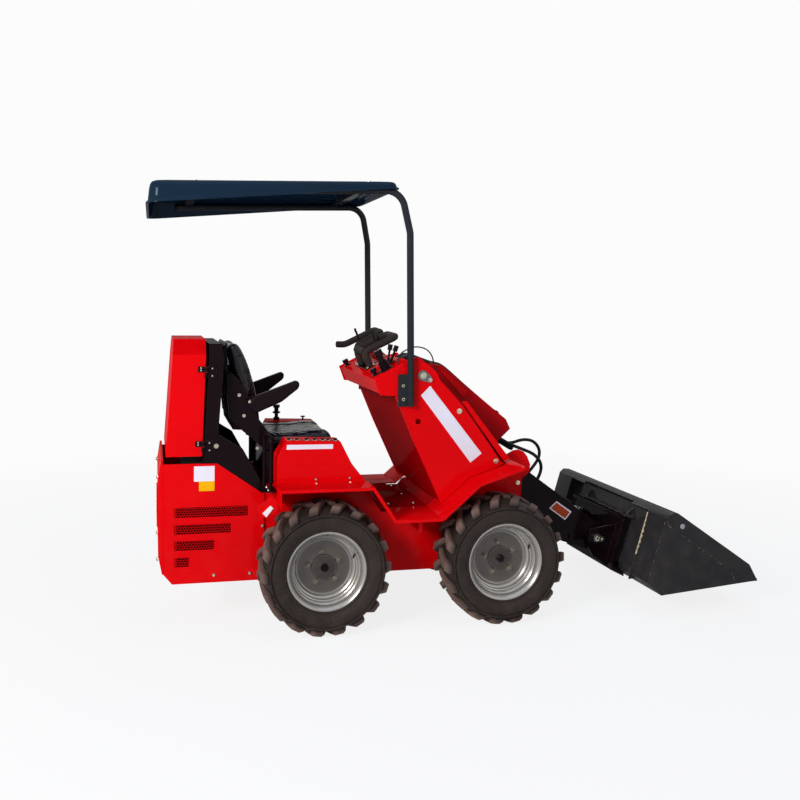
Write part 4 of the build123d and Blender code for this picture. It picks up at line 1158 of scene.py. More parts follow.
# ------------------------------------------------------------------ engine bay and hood
@dataclass
class EngineBay:
    """Grilles, blank plates, bolts and rear louvres of the engine bay."""

    half: float = 280.0           # outer face of the side panels
    rear: float = -694.0          # outer face of the rear panel
    grille_rear: float = -629.0
    pitch: float = 11.7           # of the grilles' holes
    hole: float = 9.9
    # front edge, foot and top of each window
    windows: tuple = ((-311.0, 487.0, 531.0), (-385.0, 415.0, 457.0), (-457.0, 344.0, 386.0),
                      (-565.0, 273.0, 314.0))

    def build(self) -> None:
        """Makes the fittings of the bay."""
        self.plates()
        self.grilles()
        places = [(-459, -self.half, 232), (-303, -self.half, 232), (-248, -self.half, 439)]
        piece("bay_bolts", side_row(dome_bolt(8.0, 6.0), places), ZINC)
        corners = [(self.rear, y, z) for y in (-230, 230) for z in (300, 660)]
        piece("rear_panel_bolts", facing(hex_bolt(8.0, 6.0), corners, (-1, 0, 0)), ZINC)
        louvres = [block((self.rear - 5, self.rear + 0.5), (-150, 150), (z, z + 10))
                   for z in range(420, 560, 26)]
        piece("rear_panel_louvres", joined(louvres), RED, bevel=2.0)

    def grilles(self) -> None:
        """Perforated strips in the four windows of each side, with the dark core behind them."""
        depth = (-self.half + 1.2, -self.half + 2.4)
        mesh = joined([honeycomb((self.grille_rear, ahead), (low, high), depth, self.pitch, self.hole)
                       for ahead, low, high in self.windows])
        piece("grille_mesh", mesh.paired(), RED, replaces=("side_grilles",))
        core = block((-640, -302), (-self.half + 14, -self.half + 17), (258, 546)).paired()
        piece("grille_core", core, CORE_BLACK)

    def plates(self) -> None:
        """Two blank plates on the near side, one white and one yellow."""
        for name, rear, low, high, finish in (("white_plate", -543, 643, 709, WHITE_LABEL),
                                              ("yellow_plate", -522, 601, 643, YELLOW_LABEL)):
            corners = [(rear, low), (-456, low), (-456, high), (rear, high)]
            piece(name, near_sheet(corners, self.half, 0.9), finish, bevel=0.3)


@dataclass
class HoodFittings:
    """Leaves, barrels and screws of the hood's two hinges."""

    side: float = -284.0                  # face of the hood's near side
    heights: tuple = (794.0, 1114.0)      # foot of the lower and the upper hinge
    lean: float = 0.038                   # of the hinge line, ahead for each millimetre up

    def build(self) -> None:
        """Makes both hinges."""
        screw, out = dome_bolt(4.6, 3.4), (0, -1, 0)
        for level, height in zip(("lower", "upper"), self.heights):
            x = -506 + (height - 752) * self.lean
            hood_side = [(x - 22, self.side, height + 8), (x - 22, self.side, height + 18)]
            frame_side = [(x + 26, self.side, height - 16), (x + 26, self.side, height + 16)]
            leaf = block((x - 34.6, x - 0.6), (self.side - 0.8, self.side + 3.5),
                         (height + 0.2, height + 24.4))
            barrel = rod((x, self.side - 4, height + 0.6), (x + 0.9, self.side - 4, height + 24.4), 7.4, 20)
            piece("hood_hinge_leaf_" + level, leaf + barrel, BLACK, "hood", bevel=0.8)
            piece("hood_hinge_screws_" + level, facing(screw, hood_side, out), ZINC, "hood")
            piece("frame_hinge_screws_" + level, facing(screw, frame_side, out), ZINC)


# ------------------------------------------------------------------ tower
@dataclass
class TowerFittings:
    """Blank strip, bolts, pin ends, folded front edges and hoses of the tower."""

    half: float = 385.0           # outer face of the skins
    pin_face: float = 390.0       # outer face of the boom's pivot boss

    def build(self) -> None:
        """Makes the fittings."""
        strip = near_sheet([(433, 1014), (475, 1056), (720, 750), (668, 710)], self.half)
        piece("tower_blank_strip", strip, WHITE_LABEL, bevel=0.3)
        bolts = [(612, self.half, 942), (789, self.half, 713)]
        piece("tower_bolts", side_row(hex_bolt(9.0, 7.0), bolts), ZINC)
        end = button([(0, 0), (14, 0), (14, 5), (10, 6), (8, 2), (0, 2)], 32)
        piece("pivot_pin_ends", side_row(end, [(440, self.pin_face, 1102)]), ZINC)
        piece("pivot_flag_bolts", side_row(hex_bolt(7.0, 5.5), [(473, self.pin_face, 1082)]), ZINC)
        self.post_brackets()
        self.front_edges()
        self.hoses()

    def post_brackets(self) -> None:
        """Two dome bolts with hexagon sockets on each bracket of the canopy posts."""
        socket = button([(0, 0), (4.2, 0), (4.2, 0.8), (0, 0.8)], 6)
        for name, template, face, finish in (("bolts", dome_bolt(9.5, 7.0), 395.0, ZINC),
                                             ("sockets", socket, 401.6, MOULDED)):
            places = [(349, face, 1058), (350, face, 999)]
            piece("post_bracket_" + name, side_row(template, places), finish)

    def front_edges(self) -> None:
        """Folded flange ahead of each skin's front edge, and a black sheet of painted shade in the gap
        between them.
        """
        flange = plate([(628, 983), (652, 984), (861, 721), (832, 709)], self.half - 22, self.half - 14)
        piece("tower_front_flanges", flange.paired(), RED, bevel=1.5)
        gap = plate([(520, 1072), (536, 1076), (846, 706), (826, 700)], self.half - 40, self.half - 34)
        piece("tower_gap_painted_shades", gap.paired(), BLACK)

    def hoses(self) -> None:
        """Four short hoses that come up through the tower behind the boom's pivot."""
        runs = [rod((436, y, 1152), (478, y, 1168), 11.0, 12) + rod((476, y, 1168), (566, y, 1136), 11.0, 12)
                for y in (-54, -28, 28, 54)]
        piece("tower_hoses", joined(runs), HOSE)


# ------------------------------------------------------------------ seat
@dataclass
class Seat:
    """Backrest and cushion of the seat, their shell, piping, side plates and bolts."""

    half: float = 196.0           # half the width of the pads
    plate_in: float = 206.0
    plate_out: float = 222.0
    roll_place: float = 0.78      # middle of the side rolls, as a share of the half width
    roll_width: float = 0.15
    piping_place: float = 0.60
    piping: float = 2.6           # radius

    def pad(self, loop: np.ndarray, edge: float, front: tuple, bolster: float) -> Shape:
        """A cushion from its side profile.

        The profile is carried across the seat. Within the edge radius r of its end it shrinks inwards
        by r - sqrt(r^2 - d^2), with d the way past the start of the rounding. Faces that look to the
        front swell by the bolster where |y| is near the side rolls' place.

        Args:
            loop: the side profile as a closed run of (x, z).
            edge: radius of the rounding at its two ends.
            front: the direction (x, z) that a sitter touches.
            bolster: height of the two side rolls.

        Returns:
            The slack cushion as one closed surface.
        """
        round_end = edge / self.half
        across = np.concatenate([np.linspace(-1, -1 + round_end, 8)[:-1],
                                 np.linspace(-1 + round_end, 1 - round_end, 33),
                                 np.linspace(1 - round_end, 1, 8)[1:]])
        tangent = unit(np.roll(loop, -1, 0) - np.roll(loop, 1, 0))
        normal = np.stack([tangent[:, 1], -tangent[:, 0]], -1)
        if np.sum((loop - loop.mean(0)) * normal) < 0:
            normal = -normal
        y = across * self.half
        past = np.clip(np.abs(y) - (self.half - edge), 0, edge * 0.999)
        shrink = edge - np.sqrt(edge**2 - past**2)
        facing_share = np.clip(normal @ unit(np.array(front, float)), 0, 1)**2
        roll = bolster * np.exp(-((np.abs(across) - self.roll_place) / self.roll_width)**2)
        offset = -shrink[:, None] * 0.86 + roll[:, None] * facing_share[None]
        flat = loop[None] + normal[None] * offset[..., None]
        places = np.stack([flat[..., 0], np.broadcast_to(y[:, None], flat.shape[:2]), flat[..., 1]], -1)
        return grid(places, wrap_columns=True, capped=True)

    def build(self) -> None:
        """Makes the seat."""
        back_line = [(-381, 1150), (-392, 1200), (-384, 1228), (-364, 1228), (-345, 1195), (-318, 1130),
                     (-296, 1062), (-280, 990), (-268, 915), (-264, 862), (-284, 850), (-318, 858),
                     (-340, 940), (-358, 1040)]
        seat_line = [(-236, 772), (-100, 768), (30, 768), (72, 776), (80, 796), (66, 822), (20, 830),
                     (-80, 822), (-160, 820), (-232, 822), (-248, 800)]
        loops = [np.delete(smooth_line(line + line[:1], 90), -1, 0) for line in (back_line, seat_line)]
        back = soft_pad("seat_back_pad", self.pad(loops[0], 30.0, (1.0, 0.3), 13.0), "seat_back")
        cushion = soft_pad("seat_cushion_pad", self.pad(loops[1], 24.0, (0.0, 1.0), 8.0), "seat_cushion")
        self.seams(back, cushion)
        self.shell()
        self.side_plates()

    def seams(self, back: bpy.types.Object, cushion: bpy.types.Object) -> None:
        """Two lines of piping on each pad, laid on the swollen surface.

        Args:
            back: the backrest's pad.
            cushion: the cushion's pad.
        """
        for side, hand in ((NEAR, "near"), (FAR, "far")):
            y = side * self.half * self.piping_place
            down = smooth_line([(-372, y, 1232), (-338, y, 1190), (-306, y, 1100), (-282, y, 1000),
                                (-262, y, 880)], 60)
            ahead = np.linspace((-230.0, y, 850.0), (70.0, y, 850.0), 60)
            for part, pad, line in (("back", back, down), ("cushion", cushion, ahead)):
                cord = sweep(circle(self.piping, 8), on_surface(pad, line), flat=(0.1, 0.3, 1.0))
                piece(f"{part}_piping_{hand}", cord, PIPING)

    def shell(self) -> None:
        """Moulded shell behind the backrest, with six ribs."""
        line = [(-411, 1130), (-419, 1200), (-404, 1234), (-396, 1236), (-398, 1200), (-394, 1140),
                (-372, 1030), (-346, 870), (-330, 850), (-372, 853), (-380, 900), (-398, 1040)]
        rib = [(-411, 1130), (-421, 1190), (-384, 870), (-377, 872)]
        ribs = joined([plate(rib, y - 5, y + 5) for y in (-150, -90, -30, 30, 90, 150)])
        piece("seat_shell", plate(line, -self.half, self.half) + ribs, MOULDED, bevel=4.0)

    def side_plates(self) -> None:
        """Steel plates at the sides of the seat, their bolts and the armrests' bolts."""
        line = [(-404, 1100), (-380, 1108), (-352, 1080), (-318, 1030), (-296, 975), (-262, 905),
                (-222, 850), (-190, 815), (-190, 762), (-230, 762), (-388, 900)]
        piece("seat_side_plates", plate(line, self.plate_in, self.plate_out).paired(), BLACK, bevel=3.0)
        bolts = [(x, self.plate_out, z) for x, z in ((-346, 1008), (-325, 917), (-266, 772))]
        piece("seat_bolts", side_row(hex_bolt(5.5, 5.0), bolts), ZINC)
        piece("armrest_bolts", side_row(dome_bolt(8.0, 5.0), [(-306, 266, 983)]), ZINC)


def on_surface(target: bpy.types.Object, line: np.ndarray) -> np.ndarray:
    """Lays a line on an object's finished surface, each place at the nearest point.

    Args:
        target: the object.
        line: places near it, in millimetres.

    Returns:
        The places on it, in millimetres.
    """
    tree = BVHTree.FromObject(target, bpy.context.evaluated_depsgraph_get())
    found = [tree.find_nearest(Vector(place))[0] for place in DATUM.metres(line).tolist()]
    return (np.array([list(place) for place in found]) - DATUM.metres(np.zeros((1, 3)))) / MM


def soft_pad(name: str, shape: Shape, node: str, cap: float = 5.0) -> bpy.types.Object:
    """A stuffed piece: its mesh is remeshed, blown up a little as cloth, held to a cap and smoothed.

    Args:
        name: the piece's name.
        shape: its slack form.
        node: the CAD node that it stands for.
        cap: how far in millimetres a place may move while it swells.

    Returns:
        The object, with its smoothing left live.
    """
    made = piece(name, shape, VINYL, replaces=(node,))
    remesh = made.modifiers.new("remesh", "REMESH")
    remesh.mode = "VOXEL"
    remesh.voxel_size = 6.0 * MM
    remesh.use_smooth_shade = True
    bake_modifiers(made)
    swell(made, cap)
    smooth = made.modifiers.new("smooth", "SMOOTH")
    smooth.factor = 0.5
    smooth.iterations = 4
    finer = made.modifiers.new("finer", "SUBSURF")
    finer.levels = finer.render_levels = 1
    made.data.polygons.foreach_set("use_smooth", np.ones(len(made.data.polygons), bool))
    return made


def swell(made: bpy.types.Object, cap: float, pressure: float = 4.0, steps: int = 20) -> None:
    """Blows a closed mesh up as cloth, and holds each place within a cap of its start.

    Args:
        made: the object.
        cap: how far in millimetres a place may move.
        pressure: how hard it is blown up.
        steps: for how many frames.
    """
    start = places_of(made.data)
    cloth = made.modifiers.new("cloth", "CLOTH")
    cloth.settings.use_pressure = True
    cloth.settings.uniform_pressure_force = pressure
    cloth.settings.effector_weights.gravity = 0.0
    scene = bpy.context.scene
    for step in range(1, steps + 1):
        scene.frame_set(step)
    swollen = finished_mesh(made)
    move = places_of(swollen) - start
    bpy.data.meshes.remove(swollen)
    made.modifiers.clear()
    scene.frame_set(1)
    reach = np.linalg.norm(move, axis=1, keepdims=True)
    held = move * np.minimum(1.0, cap * MM / np.maximum(reach, 1e-9))
    made.data.vertices.foreach_set("co", (start + held).ravel())
    made.data.update()


def places_of(mesh: bpy.types.Mesh) -> np.ndarray:
    """The points of a mesh as an array."""
    flat = np.zeros(len(mesh.vertices) * 3)
    mesh.vertices.foreach_get("co", flat)
    return flat.reshape(-1, 3)


# ------------------------------------------------------------------ pods and console
@dataclass
class SidePods:
    """Switches, blank strip, bolts, weld beads and foot flanges of the pods beside the seat."""

    half: float = 385.0           # outer face

    def top(self, x: float) -> float:
        """Height of a pod's top face."""
        return 826.0 - (x + 159.0) * 7.0 / 234.0

    def build(self) -> None:
        """Makes the fittings of both pods."""
        strip = near_sheet([(-160, 789), (-158, 809), (42, 808), (42, 788)], self.half)
        piece("pod_blank_strip", strip, WHITE_LABEL, bevel=0.3)
        switches = [(x, -self.half + 24, self.top(x)) for x in (-146, -112, -70, -34, 0, 24, 56)]
        collar = button([(0, 0), (12, 0), (12, 2.5), (10, 4), (0, 4)], 24)
        cap = button([(0, 3.5), (8.5, 3.5), (8.5, 9), (6.5, 11), (0, 11)], 24)
        piece("pod_switch_collars", facing(collar, switches), ZINC)
        piece("pod_switch_caps", facing(cap, switches), MOULDED)
        bolt = dome_bolt(6.5, 5.0)
        piece("pod_side_bolts", side_row(bolt, [(-32, self.half, 656), (116, self.half, 658)]), ZINC)
        feet = both_sides([(-32, self.half + 14, 640), (116, self.half + 14, 640)])
        piece("pod_foot_bolts", facing(bolt, feet), ZINC)
        flange = block((-150, 172), (self.half, self.half + 26), (640, 641.5)).paired()
        piece("pod_base_flanges", flange, RED, bevel=0.5)
        bead = button([(0, 0), (3.6, 0), (2.5, 1.0), (0, 1.5)], 8)
        piece("pod_spot_welds", side_row(bead, [(x, self.half, 717) for x in range(-148, 70, 9)]), RED)


@dataclass
class Console:
    """Hand loops, gate slots, thumb levers, base bolts and the control cable of the console."""

    foam: float = 16.5            # radius of the foam on the hand loops
    corner: float = 26.0          # radius of their bends
    slope: tuple = (-83.0, 0.0, 160.0)        # square to the console's top

    def top(self, x: float) -> float:
        """Height of the console's sloping top."""
        return 1086 + (x - 224) * 83 / 160

    def lying(self, x: tuple, y: tuple, lift: float) -> Shape:
        """A thin plate lying on the console's sloping top.

        Args:
            x: where it starts and ends along the top.
            y: where it starts and ends across it.
            lift: its thickness, straight up.

        Returns:
            The plate as one closed surface.
        """
        low, high = self.top(x[0]), self.top(x[1])
        return plate([(x[0], low), (x[1], high), (x[1], high + lift), (x[0], low + lift)], y[0], y[1])

    def build(self) -> None:
        """Makes the fittings."""
        self.handles()
        slots = [self.lying((306, 372), (y - 5, y + 5), 1.2) for y in (-120.0, -95.0, -20.0)]
        slots += [self.lying((320, 366), (y - 4, y + 4), 1.2) for y in (200.0, 240.0, 280.0)]
        piece("console_slots", joined(slots), MOULDED, bevel=0.4)
        bolts = [(x, y, self.top(x) + 6) for x, y in ((264, -74), (264, 124), (294, -74), (294, 124),
                                                      (268, 148), (268, 182))]
        piece("handle_base_bolts", facing(hex_bolt(5.5, 4.5), bolts, self.slope), ZINC)
        levers = [rod(start, end, 5.5, 12) for start, end in (((280, 170, 1222), (262, 176, 1276)),
                                                             ((262, 176, 1270), (256, 178, 1290)),
                                                             ((330, 60, 1232), (318, 74, 1285)))]
        piece("thumb_levers", joined(levers), MOULDED, bevel=1.0)
        lean = np.array([-42.0, 0.0, 85.0])           # of the joystick's boot
        rings = [np.array([292.0, -310.0, self.top(292) + 3]) + lean * share for share in (0.10, 0.24, 0.37)]
        ring = lathe([(20, -1.2), (23.6, -1.2), (23.6, 1.2), (20, 1.2)], (0, 0, 0), (0, 0, 1), 28)
        piece("boot_rings", facing(ring, rings, lean), MOULDED)
        lip = plate([(224, 1086), (384, 1169), (384, 1175), (224, 1092)], 371, 377)
        piece("console_side_lips", lip.paired(), RED, bevel=0.8)
        self.cable()

    def handles(self) -> None:
        """The foam-covered hand loops on their plates.

        The middle one has two legs and a bar, and the left one is a hook with an open, domed end.
        """
        near_y, far_y = -60, 110
        loop = [(280, near_y, self.top(280) + 4), (252, near_y, 1187), (403, near_y, 1259),
                (403, far_y, 1264), (250, far_y, 1190), (277, far_y, self.top(277) + 4)]
        bar = rod((252, near_y + 6, 1187), (250, far_y - 6, 1190), self.foam, 18)
        tube = sweep(circle(self.foam, 18), bent_line(loop, self.corner))
        piece("middle_handle", tube + bar, FOAM, replaces=("control_handles",))
        near_y, far_y = 165, 325
        hook = [(284, near_y, self.top(284) + 4), (262, near_y, 1205), (387, near_y, 1270),
                (390, far_y, 1277), (238, far_y, 1203), (198, far_y, 1204)]
        line = bent_line(hook, self.corner)
        quarter = np.linspace(0, math.pi / 2, 8)
        round_end = [(0.0, 0.0)] + [(math.cos(a) * self.foam, math.sin(a) * 8.0) for a in quarter]
        dome = lathe(round_end, line[-1], line[-1] - line[-2], 18, closed=False)
        piece("left_handle", sweep(circle(self.foam, 18), line) + dome, FOAM)
        plates = [self.lying((258, 300), (-82, 132), 6.0), self.lying((264, 304), (140, 190), 6.0)]
        piece("handle_plates", joined(plates), BLACK, bevel=1.5)

    def cable(self) -> None:
        """The thin cable that arcs from the console's near side over the tower to its inner plate."""
        route = [(329, -372, 1141), (334, -368, 1196), (396, -300, 1214), (462, -208, 1222),
                 (520, -200, 1206), (548, -199, 1160), (552, -199, 1106)]
        hose_curve("console_cable", route, 3.0, "chassis")


def hose_curve(name: str, route: list, radius: float, body: str, node: str = "") -> bpy.types.Object:
    """A hose or cable as one curve through the control points of its route.

    Args:
        name: the piece's name.
        route: its control points in millimetres, from where it leaves its fitting.
        radius: its radius in millimetres.
        body: the CAD body that both ends are fixed to.
        node: the CAD node that it stands for, if there is one.

    Returns:
        The curve's object, at the origin.
    """
    curve = bpy.data.curves.new(name, "CURVE")
    curve.dimensions = "3D"
    curve.bevel_depth = radius * MM
    curve.bevel_resolution = 5
    curve.use_fill_caps = True
    spline = curve.splines.new("NURBS")
    points = DATUM.metres(np.array(route, float))
    spline.points.add(len(points) - 1)
    spline.points.foreach_set("co", np.hstack([points, np.ones((len(points), 1))]).ravel())
    spline.order_u = 3
    spline.use_endpoint_u = True
    spline.resolution_u = 12
    made = linked(name, curve)
    curve.materials.append(HOSE.material())
    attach(made, body)
    if node:
        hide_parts(node)
    return made


# ------------------------------------------------------------------ canopy
@dataclass
class Canopy:
    """The moulded roof: a crowned shell with round corners and a turned-out lip, and its fastenings."""

    rear: float = -742.0
    front: float = 326.0
    half: float = 420.0
    corner: float = 62.0          # radius of the plan's corners
    lip_rear: float = 1812.0      # height of the lip's underside at the rear
    top_rear: float = 1906.0      # height of the top behind, where it starts 34 mm ahead of the rear

    def low(self, x: np.ndarray) -> np.ndarray:
        """Height of the lip's underside."""
        return self.lip_rear + (x - self.rear) * 96 / 1068

    def high(self, x: np.ndarray) -> np.ndarray:
        """Height of the shell's top."""
        return self.top_rear + (x - self.rear - 34) * 32 / 994

    def ring(self, inset: float, count: int = 28) -> np.ndarray:
        """Plan of the shell, a rectangle with round corners, moved inwards by an inset.

        Args:
            inset: how far it lies inside the shell's outer edge.
            count: how many places each corner gets.

        Returns:
            An array of (x, y) places.
        """
        flat = rounded_box(self.front - self.rear - 2 * inset, 2 * (self.half - inset),
                           max(self.corner - inset, 12.0), count)
        return flat[::-1] + np.array([(self.front + self.rear) / 2, 0.0])

    def build(self) -> None:
        """Makes the roof as one closed shell, from its inner middle round the lip to its outer middle."""
        # inset from the plan, share of the way from the lip to the top, extra height in millimetres
        outer = [(0.0, 0.0, 0.0), (0.0, 0.0, 4.0), (1.5, 0.0, 6.5), (6.0, 0.02, 7.5), (9.0, 0.06, 8.0),
                 (11.0, 0.30, 4.0), (14.0, 0.62, 2.0), (18.0, 0.84, 0.0), (25.0, 0.95, 0.0), (38.0, 1.0, 0.0),
                 (62.0, 1.0, 1.5), (66.0, 1.0, 4.0), (130.0, 1.0, 6.0), (240.0, 1.0, 7.0), (380.0, 1.0, 7.5)]
        inner = [(380.0, 1.0, -1.0), (130.0, 1.0, -3.0), (62.0, 1.0, -5.0), (42.0, 0.97, -5.0),
                 (30.0, 0.90, -5.0), (22.0, 0.66, -3.0), (17.0, 0.30, 0.0), (14.0, 0.06, 2.0),
                 (11.0, 0.0, 1.0), (2.0, 0.0, 0.0)]
        rows = []
        for inset, share, extra in inner + outer:
            plan = self.ring(inset)
            low, high = self.low(plan[:, 0]), self.high(plan[:, 0])
            rows.append(np.stack([plan[:, 0], plan[:, 1], low + (high - low) * share + extra], -1))
        shape = grid(np.stack(rows), wrap_columns=True, capped=True)
        piece("canopy_shell", shape, ROOF, replaces=("canopy_roof",), merge=True)
        self.fastenings()

    def fastenings(self) -> None:
        """Bolt heads on the roof over the two cross bars, and end caps of the rails."""
        places = [(x, y, self.high(x) + 4.0) for x in (-540.0, 200.0) for y in (-330.0, 330.0)]
        piece("roof_bolts", facing(hex_bolt(9.0, 6.0), places), ZINC)
        ends = [rod((-606, side * 386, 1868), (-598, side * 386, 1868), 16.0, 24) for side in (NEAR, FAR)]
        piece("rail_end_caps", joined(ends), MOULDED)


# ------------------------------------------------------------------ boom and hoses
@dataclass
class BoomFittings:
    """Blank label, bosses, gussets, pin flags and painted eyes of the boom and its cylinders."""

    pivot: tuple = (440.0, 1102.0)
    along: tuple = (0.781, -0.6245)       # direction of the beam in X and Z
    side: float = 173.0                   # outer face of the knee's plates
    tilt_pin: tuple = (1389.0, 206.0, 287.0)
    eye: float = 27.0                     # radius of the painted eyes on the rods

    def at(self, s: float, n: float) -> tuple:
        """Place (x, z) so far along the beam's top edge, and so far square to it."""
        ahead, down = self.along
        return (self.pivot[0] + s * ahead - n * down, self.pivot[1] + s * down + n * ahead)

    def build(self) -> None:
        """Makes the fittings."""
        border = near_sheet([(1188, 470), (1267, 415), (1234, 376), (1150, 436)], self.side)
        inner = plate([(1187, 463), (1259, 413), (1233, 383), (1158, 436)], -self.side - 1.4, -self.side)
        piece("knee_label_border", border, WHITE_LABEL, "boom", bevel=0.2)
        piece("knee_label", inner, ORANGE_LABEL, "boom", bevel=0.2)
        boss = button([(0, 0), (17, 0), (17, 5), (15, 7), (0, 7)])
        bosses = side_row(boss, [(1180, self.side, 303), (1272, self.side, 293)])
        piece("knee_bosses", bosses, BLACK, "boom")
        gusset = plate([(578, 1111), (617, 1094), (721, 1002), (697, 978), (646, 1037)], -190.0, -184.5)
        piece("beam_gussets", gusset.paired(), RED, "boom", bevel=1.2)
        self.tilt_pins()
        for name, x, z in (("tilt_rod", 1394, 372), ("lift_rod", 625, 866)):
            piece(name + "_eye", rod((x, -26, z), (x, 26, z), self.eye, 40), BLACK, name, bevel=1.5)

    def tilt_pins(self) -> None:
        """Flag, flag bolt and turned end of the bucket's pin on each side."""
        x, y, z = self.tilt_pin
        flag = plate([(-17, 12), (-6, 19), (8, 18), (36, 4), (40, -8), (34, -16), (8, -18), (-12, -16),
                      (-19, -4)], 0, 5).moved(self.tilt_pin)
        for number, shape in enumerate((flag, flag.mirrored())):
            piece(f"tilt_pin_flag_{number}", shape, STEEL, "tool", bevel=1.0)
        bolts = side_row(hex_bolt(6.0, 5.0), [(x + 27, y + 5, z - 6)])
        piece("tilt_flag_bolts", bolts, ZINC, "tool")
        end = button([(0, 0), (12, 0), (12, 4), (9, 5), (7, 2), (0, 2)])
        piece("tilt_pin_ends", side_row(end, [(x, y + 5, z)]), ZINC, "tool")


@dataclass
class Hoses:
    """The two looping hoses between the beam and the knee, and the four along the beam."""

    beam: BoomFittings                    # what gives places along the beam
    loop_side: float = 80.0               # of the loops, to each side of the middle
    loop_radius: float = 8.0
    beam_radius: float = 9.0

    def build(self) -> None:
        """Makes the hoses."""
        self.loops()
        wrap = [(878, 800), (1012, 722), (1000, 700), (866, 778)]
        piece("hose_sleeve", plate(wrap, -64, -22), HOSE, "boom", bevel=10.0)
        self.along_beam()

    def loops(self) -> None:
        """Two hoses that leave the beam's end, loop up and ahead, and come down to the knee."""
        near = [self.beam.at(485.5, 34), (950, 748), (1040, 714), (1113, 684), (1152, 628), (1128, 556),
                (1080, 485.5)]
        far = [self.beam.at(485.5, 24), (950, 740), (1040, 712), (1110, 736), (1175, 726), (1212, 672),
               (1190, 604), (1074, 486.7)]
        for name, side, route in (("boom_hose_right", NEAR, near), ("boom_hose_left", FAR, far)):
            places = np.array([(x, side * self.loop_side, z) for x, z in route], float)
            hose_curve(name, places.tolist(), self.loop_radius, "boom", "boom_hoses")
            ends = [(places[0], places[1], 46.0), (places[-1], places[-2], 34.0)]
            ferrules = [rod(foot, foot + unit(ahead - foot) * length, 12.0, 12)
                        for foot, ahead, length in ends]
            piece(name + "_ferrules", joined(ferrules), ZINC, "boom")

    def along_beam(self) -> None:
        """Four hoses over the beam's top, and the clamp that holds them."""
        places = [self.beam.at(s, n) for s, n in ((100, 119), (150, 134), (290, 131), (420, 129), (500, 128))]
        for number, y in enumerate((-44, -16, 16, 44)):
            line = smooth_line([(x, y, z) for x, z in places], 36)
            piece(f"boom_top_hose_{number}", sweep(circle(self.beam_radius, 12), line), HOSE, "boom")
        corners = [self.beam.at(s, n) for s, n in ((494, 117), (494, 140), (512, 140), (512, 117))]
        piece("top_hose_clamp", plate(corners, -62, 62), BLACK, "boom", bevel=2.0)


# ------------------------------------------------------------------ bucket and frame
@dataclass
class BucketFittings:
    """Plugs in the bucket's sides, and the strip of bare weld on its back."""

    def build(self) -> None:
        """Makes the fittings."""
        plug = button([(0, 0), (12, 0), (12, 0.8), (10.5, 1.6), (0, 1.6)])
        piece("bucket_plugs", side_row(plug, [(1627, 560, 421)]), PLUG_GREY, "tool")
        self.rubbed_strip()

    def rubbed_strip(self, edge: float = 400.6, proud: float = 1.2) -> None:
        """Ragged strip of bare weld up the back beside the pocket.

        It runs along the back's line; its inner edge is straight and its outer edge is 5 mm away,
        plus 15 mm times a rise and fall and two rectified sines.

        Args:
            edge: how far its inner edge lies from the middle, on the near side.
            proud: how far it stands off the back.
        """
        share = np.linspace(0.30, 0.97, 60)[:, None]
        ragged = np.abs(np.sin(share * 91.0) * np.cos(share * 37.0))
        wide = 5.0 + 15.0 * np.clip(np.sin((0.95 - share) * 4.4), 0, 1) * ragged
        line = np.array([1460.0, 0.0, 168.0]) + share * np.array([85.0, 0.0, 296.0])
        out, near = np.array([-0.961, 0.0, 0.276]), np.array([0.0, -1.0, 0.0])
        corners = ((edge + wide, -1.0), (edge + wide, proud), (edge, proud), (edge, -1.0))
        rows = [line + near * reach + out * lift for reach, lift in corners]
        strip = grid(np.stack(rows, 1), wrap_columns=True, capped=True)
        piece("bucket_rubbed_strip", strip, BARE, "tool")


@dataclass
class FrameBolts:
    """Bolts of the frame's sides, the floor and the grab handles' feet."""

    def build(self) -> None:
        """Makes them on both sides."""
        sides = [(944, 272, 588), (-449, 280, 795)]
        piece("frame_side_bolts", side_row(hex_bolt(7.5, 6.0), sides), ZINC)
        floor = [(x, y, 495) for x in (340, 460) for y in (-200, 0, 200)]
        piece("floor_bolts", facing(dome_bolt(6.5, 4.0), floor), ZINC)
        feet = both_sides([(-232, 305, 613), (-232, 370, 613)])
        piece("grab_foot_bolts", facing(hex_bolt(6.5, 5.0), feet), ZINC)


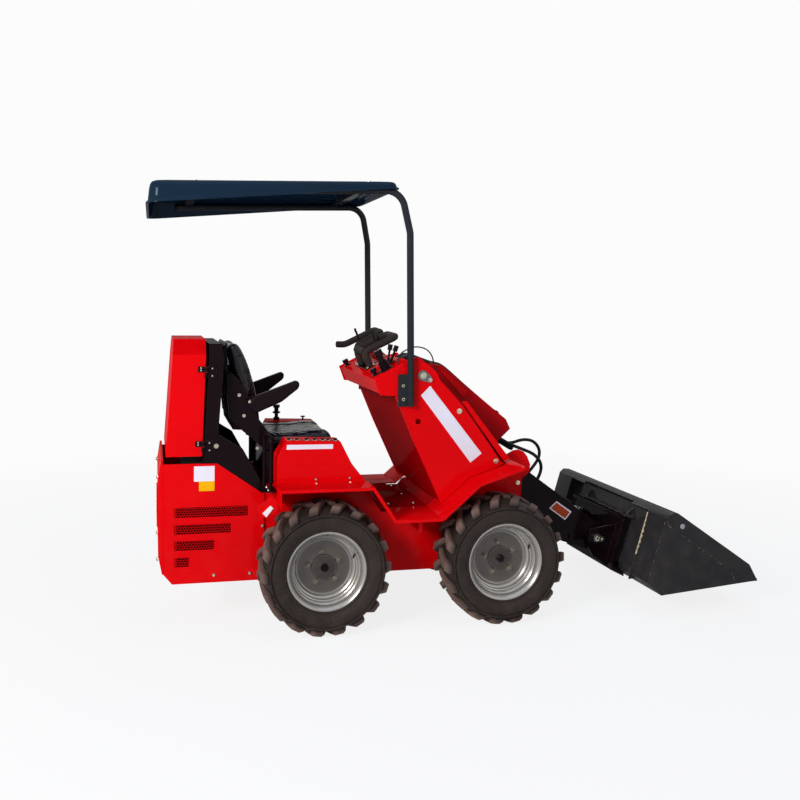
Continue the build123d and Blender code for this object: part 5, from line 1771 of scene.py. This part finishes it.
SOFTENED = {
    # node: (finish, body, edge width in millimetres)
    "chassis_frame": (RED, "chassis", 1.5),
    "axle_stubs": (BLACK, "chassis", 1.5),
    "engine_bay_panels": (RED, "chassis", 1.2),
    "rear_panel": (RED, "chassis", 1.5),
    "engine_block": (CAST_GREY, "chassis", 4.0),
    "hood_frame": (BLACK, "chassis", 1.6),
    "hood": (RED, "hood", 2.5),
    "fenders": (RED, "chassis", 1.3),
    "floor_plates": (RED_SHADE, "chassis", 1.2),
    "side_pods": (RED, "chassis", 2.0),
    "seat_base": (BLACK, "chassis", 1.5),
    "armrests": (MOULDED, "chassis", 9.0),
    "tower_skins": (RED, "chassis", 1.5),
    "tower_inner_plates": (RED, "chassis", 1.5),
    "tower_rear_panel": (RED_SHADE, "chassis", 1.5),
    "control_console": (RED, "chassis", 2.0),
    "control_levers": (MOULDED, "chassis", 1.0),
    "canopy_posts": (POST_BLACK, "chassis", 1.2),
    "grab_handles": (BLACK, "chassis", 0.6),
    "lamp_tabs": (RED, "chassis", 1.0),
    "lamp_lenses": (LAMP_WHITE, "chassis", 1.2),
    "fuel_cap_and_knob": (MOULDED, "chassis", 0.8),
    "pivot_pins": (STEEL, "chassis", 1.2),
    "boom_beam": (RED_BOOM_SHADE, "boom", 1.8),
    "boom_knee": (BLACK, "boom", 1.8),
    "knee_pin": (STEEL, "boom", 1.0),
    "lift_barrel": (BLACK, "lift_barrel", 1.0),
    "lift_rod": (CHROME, "lift_rod", 1.0),
    "tilt_barrel": (BLACK, "tilt_barrel", 1.0),
    "tilt_rod": (CHROME, "tilt_rod", 1.0),
    "coupler": (BLACK, "tool", 1.5),
    "bucket": (BUCKET_BLACK, "tool", 1.5),
}


def main() -> None:
    """Builds the sub-assemblies in order."""
    logging.basicConfig(level=logging.INFO, format="%(name)s: %(message)s")
    Studio().build()
    for node, (finish, body, width) in SOFTENED.items():
        softened(node, finish, body, width)
    for x, end in ((0.0, "rear"), (WHEELBASE, "front")):
        for side, hand in ((FAR, "left"), (NEAR, "right")):
            Wheel(f"{end}_{hand}", (x, HALF_TRACK * side, DATUM.axle_z), side).build()
    beam = BoomFittings()
    for part in (EngineBay(), HoodFittings(), TowerFittings(), Seat(), SidePods(), Console(), Canopy(), beam,
                 Hoses(beam), BucketFittings(), FrameBolts()):
        part.build()
    LOG.info("all pieces made")


if __name__ == "__main__":
    main()
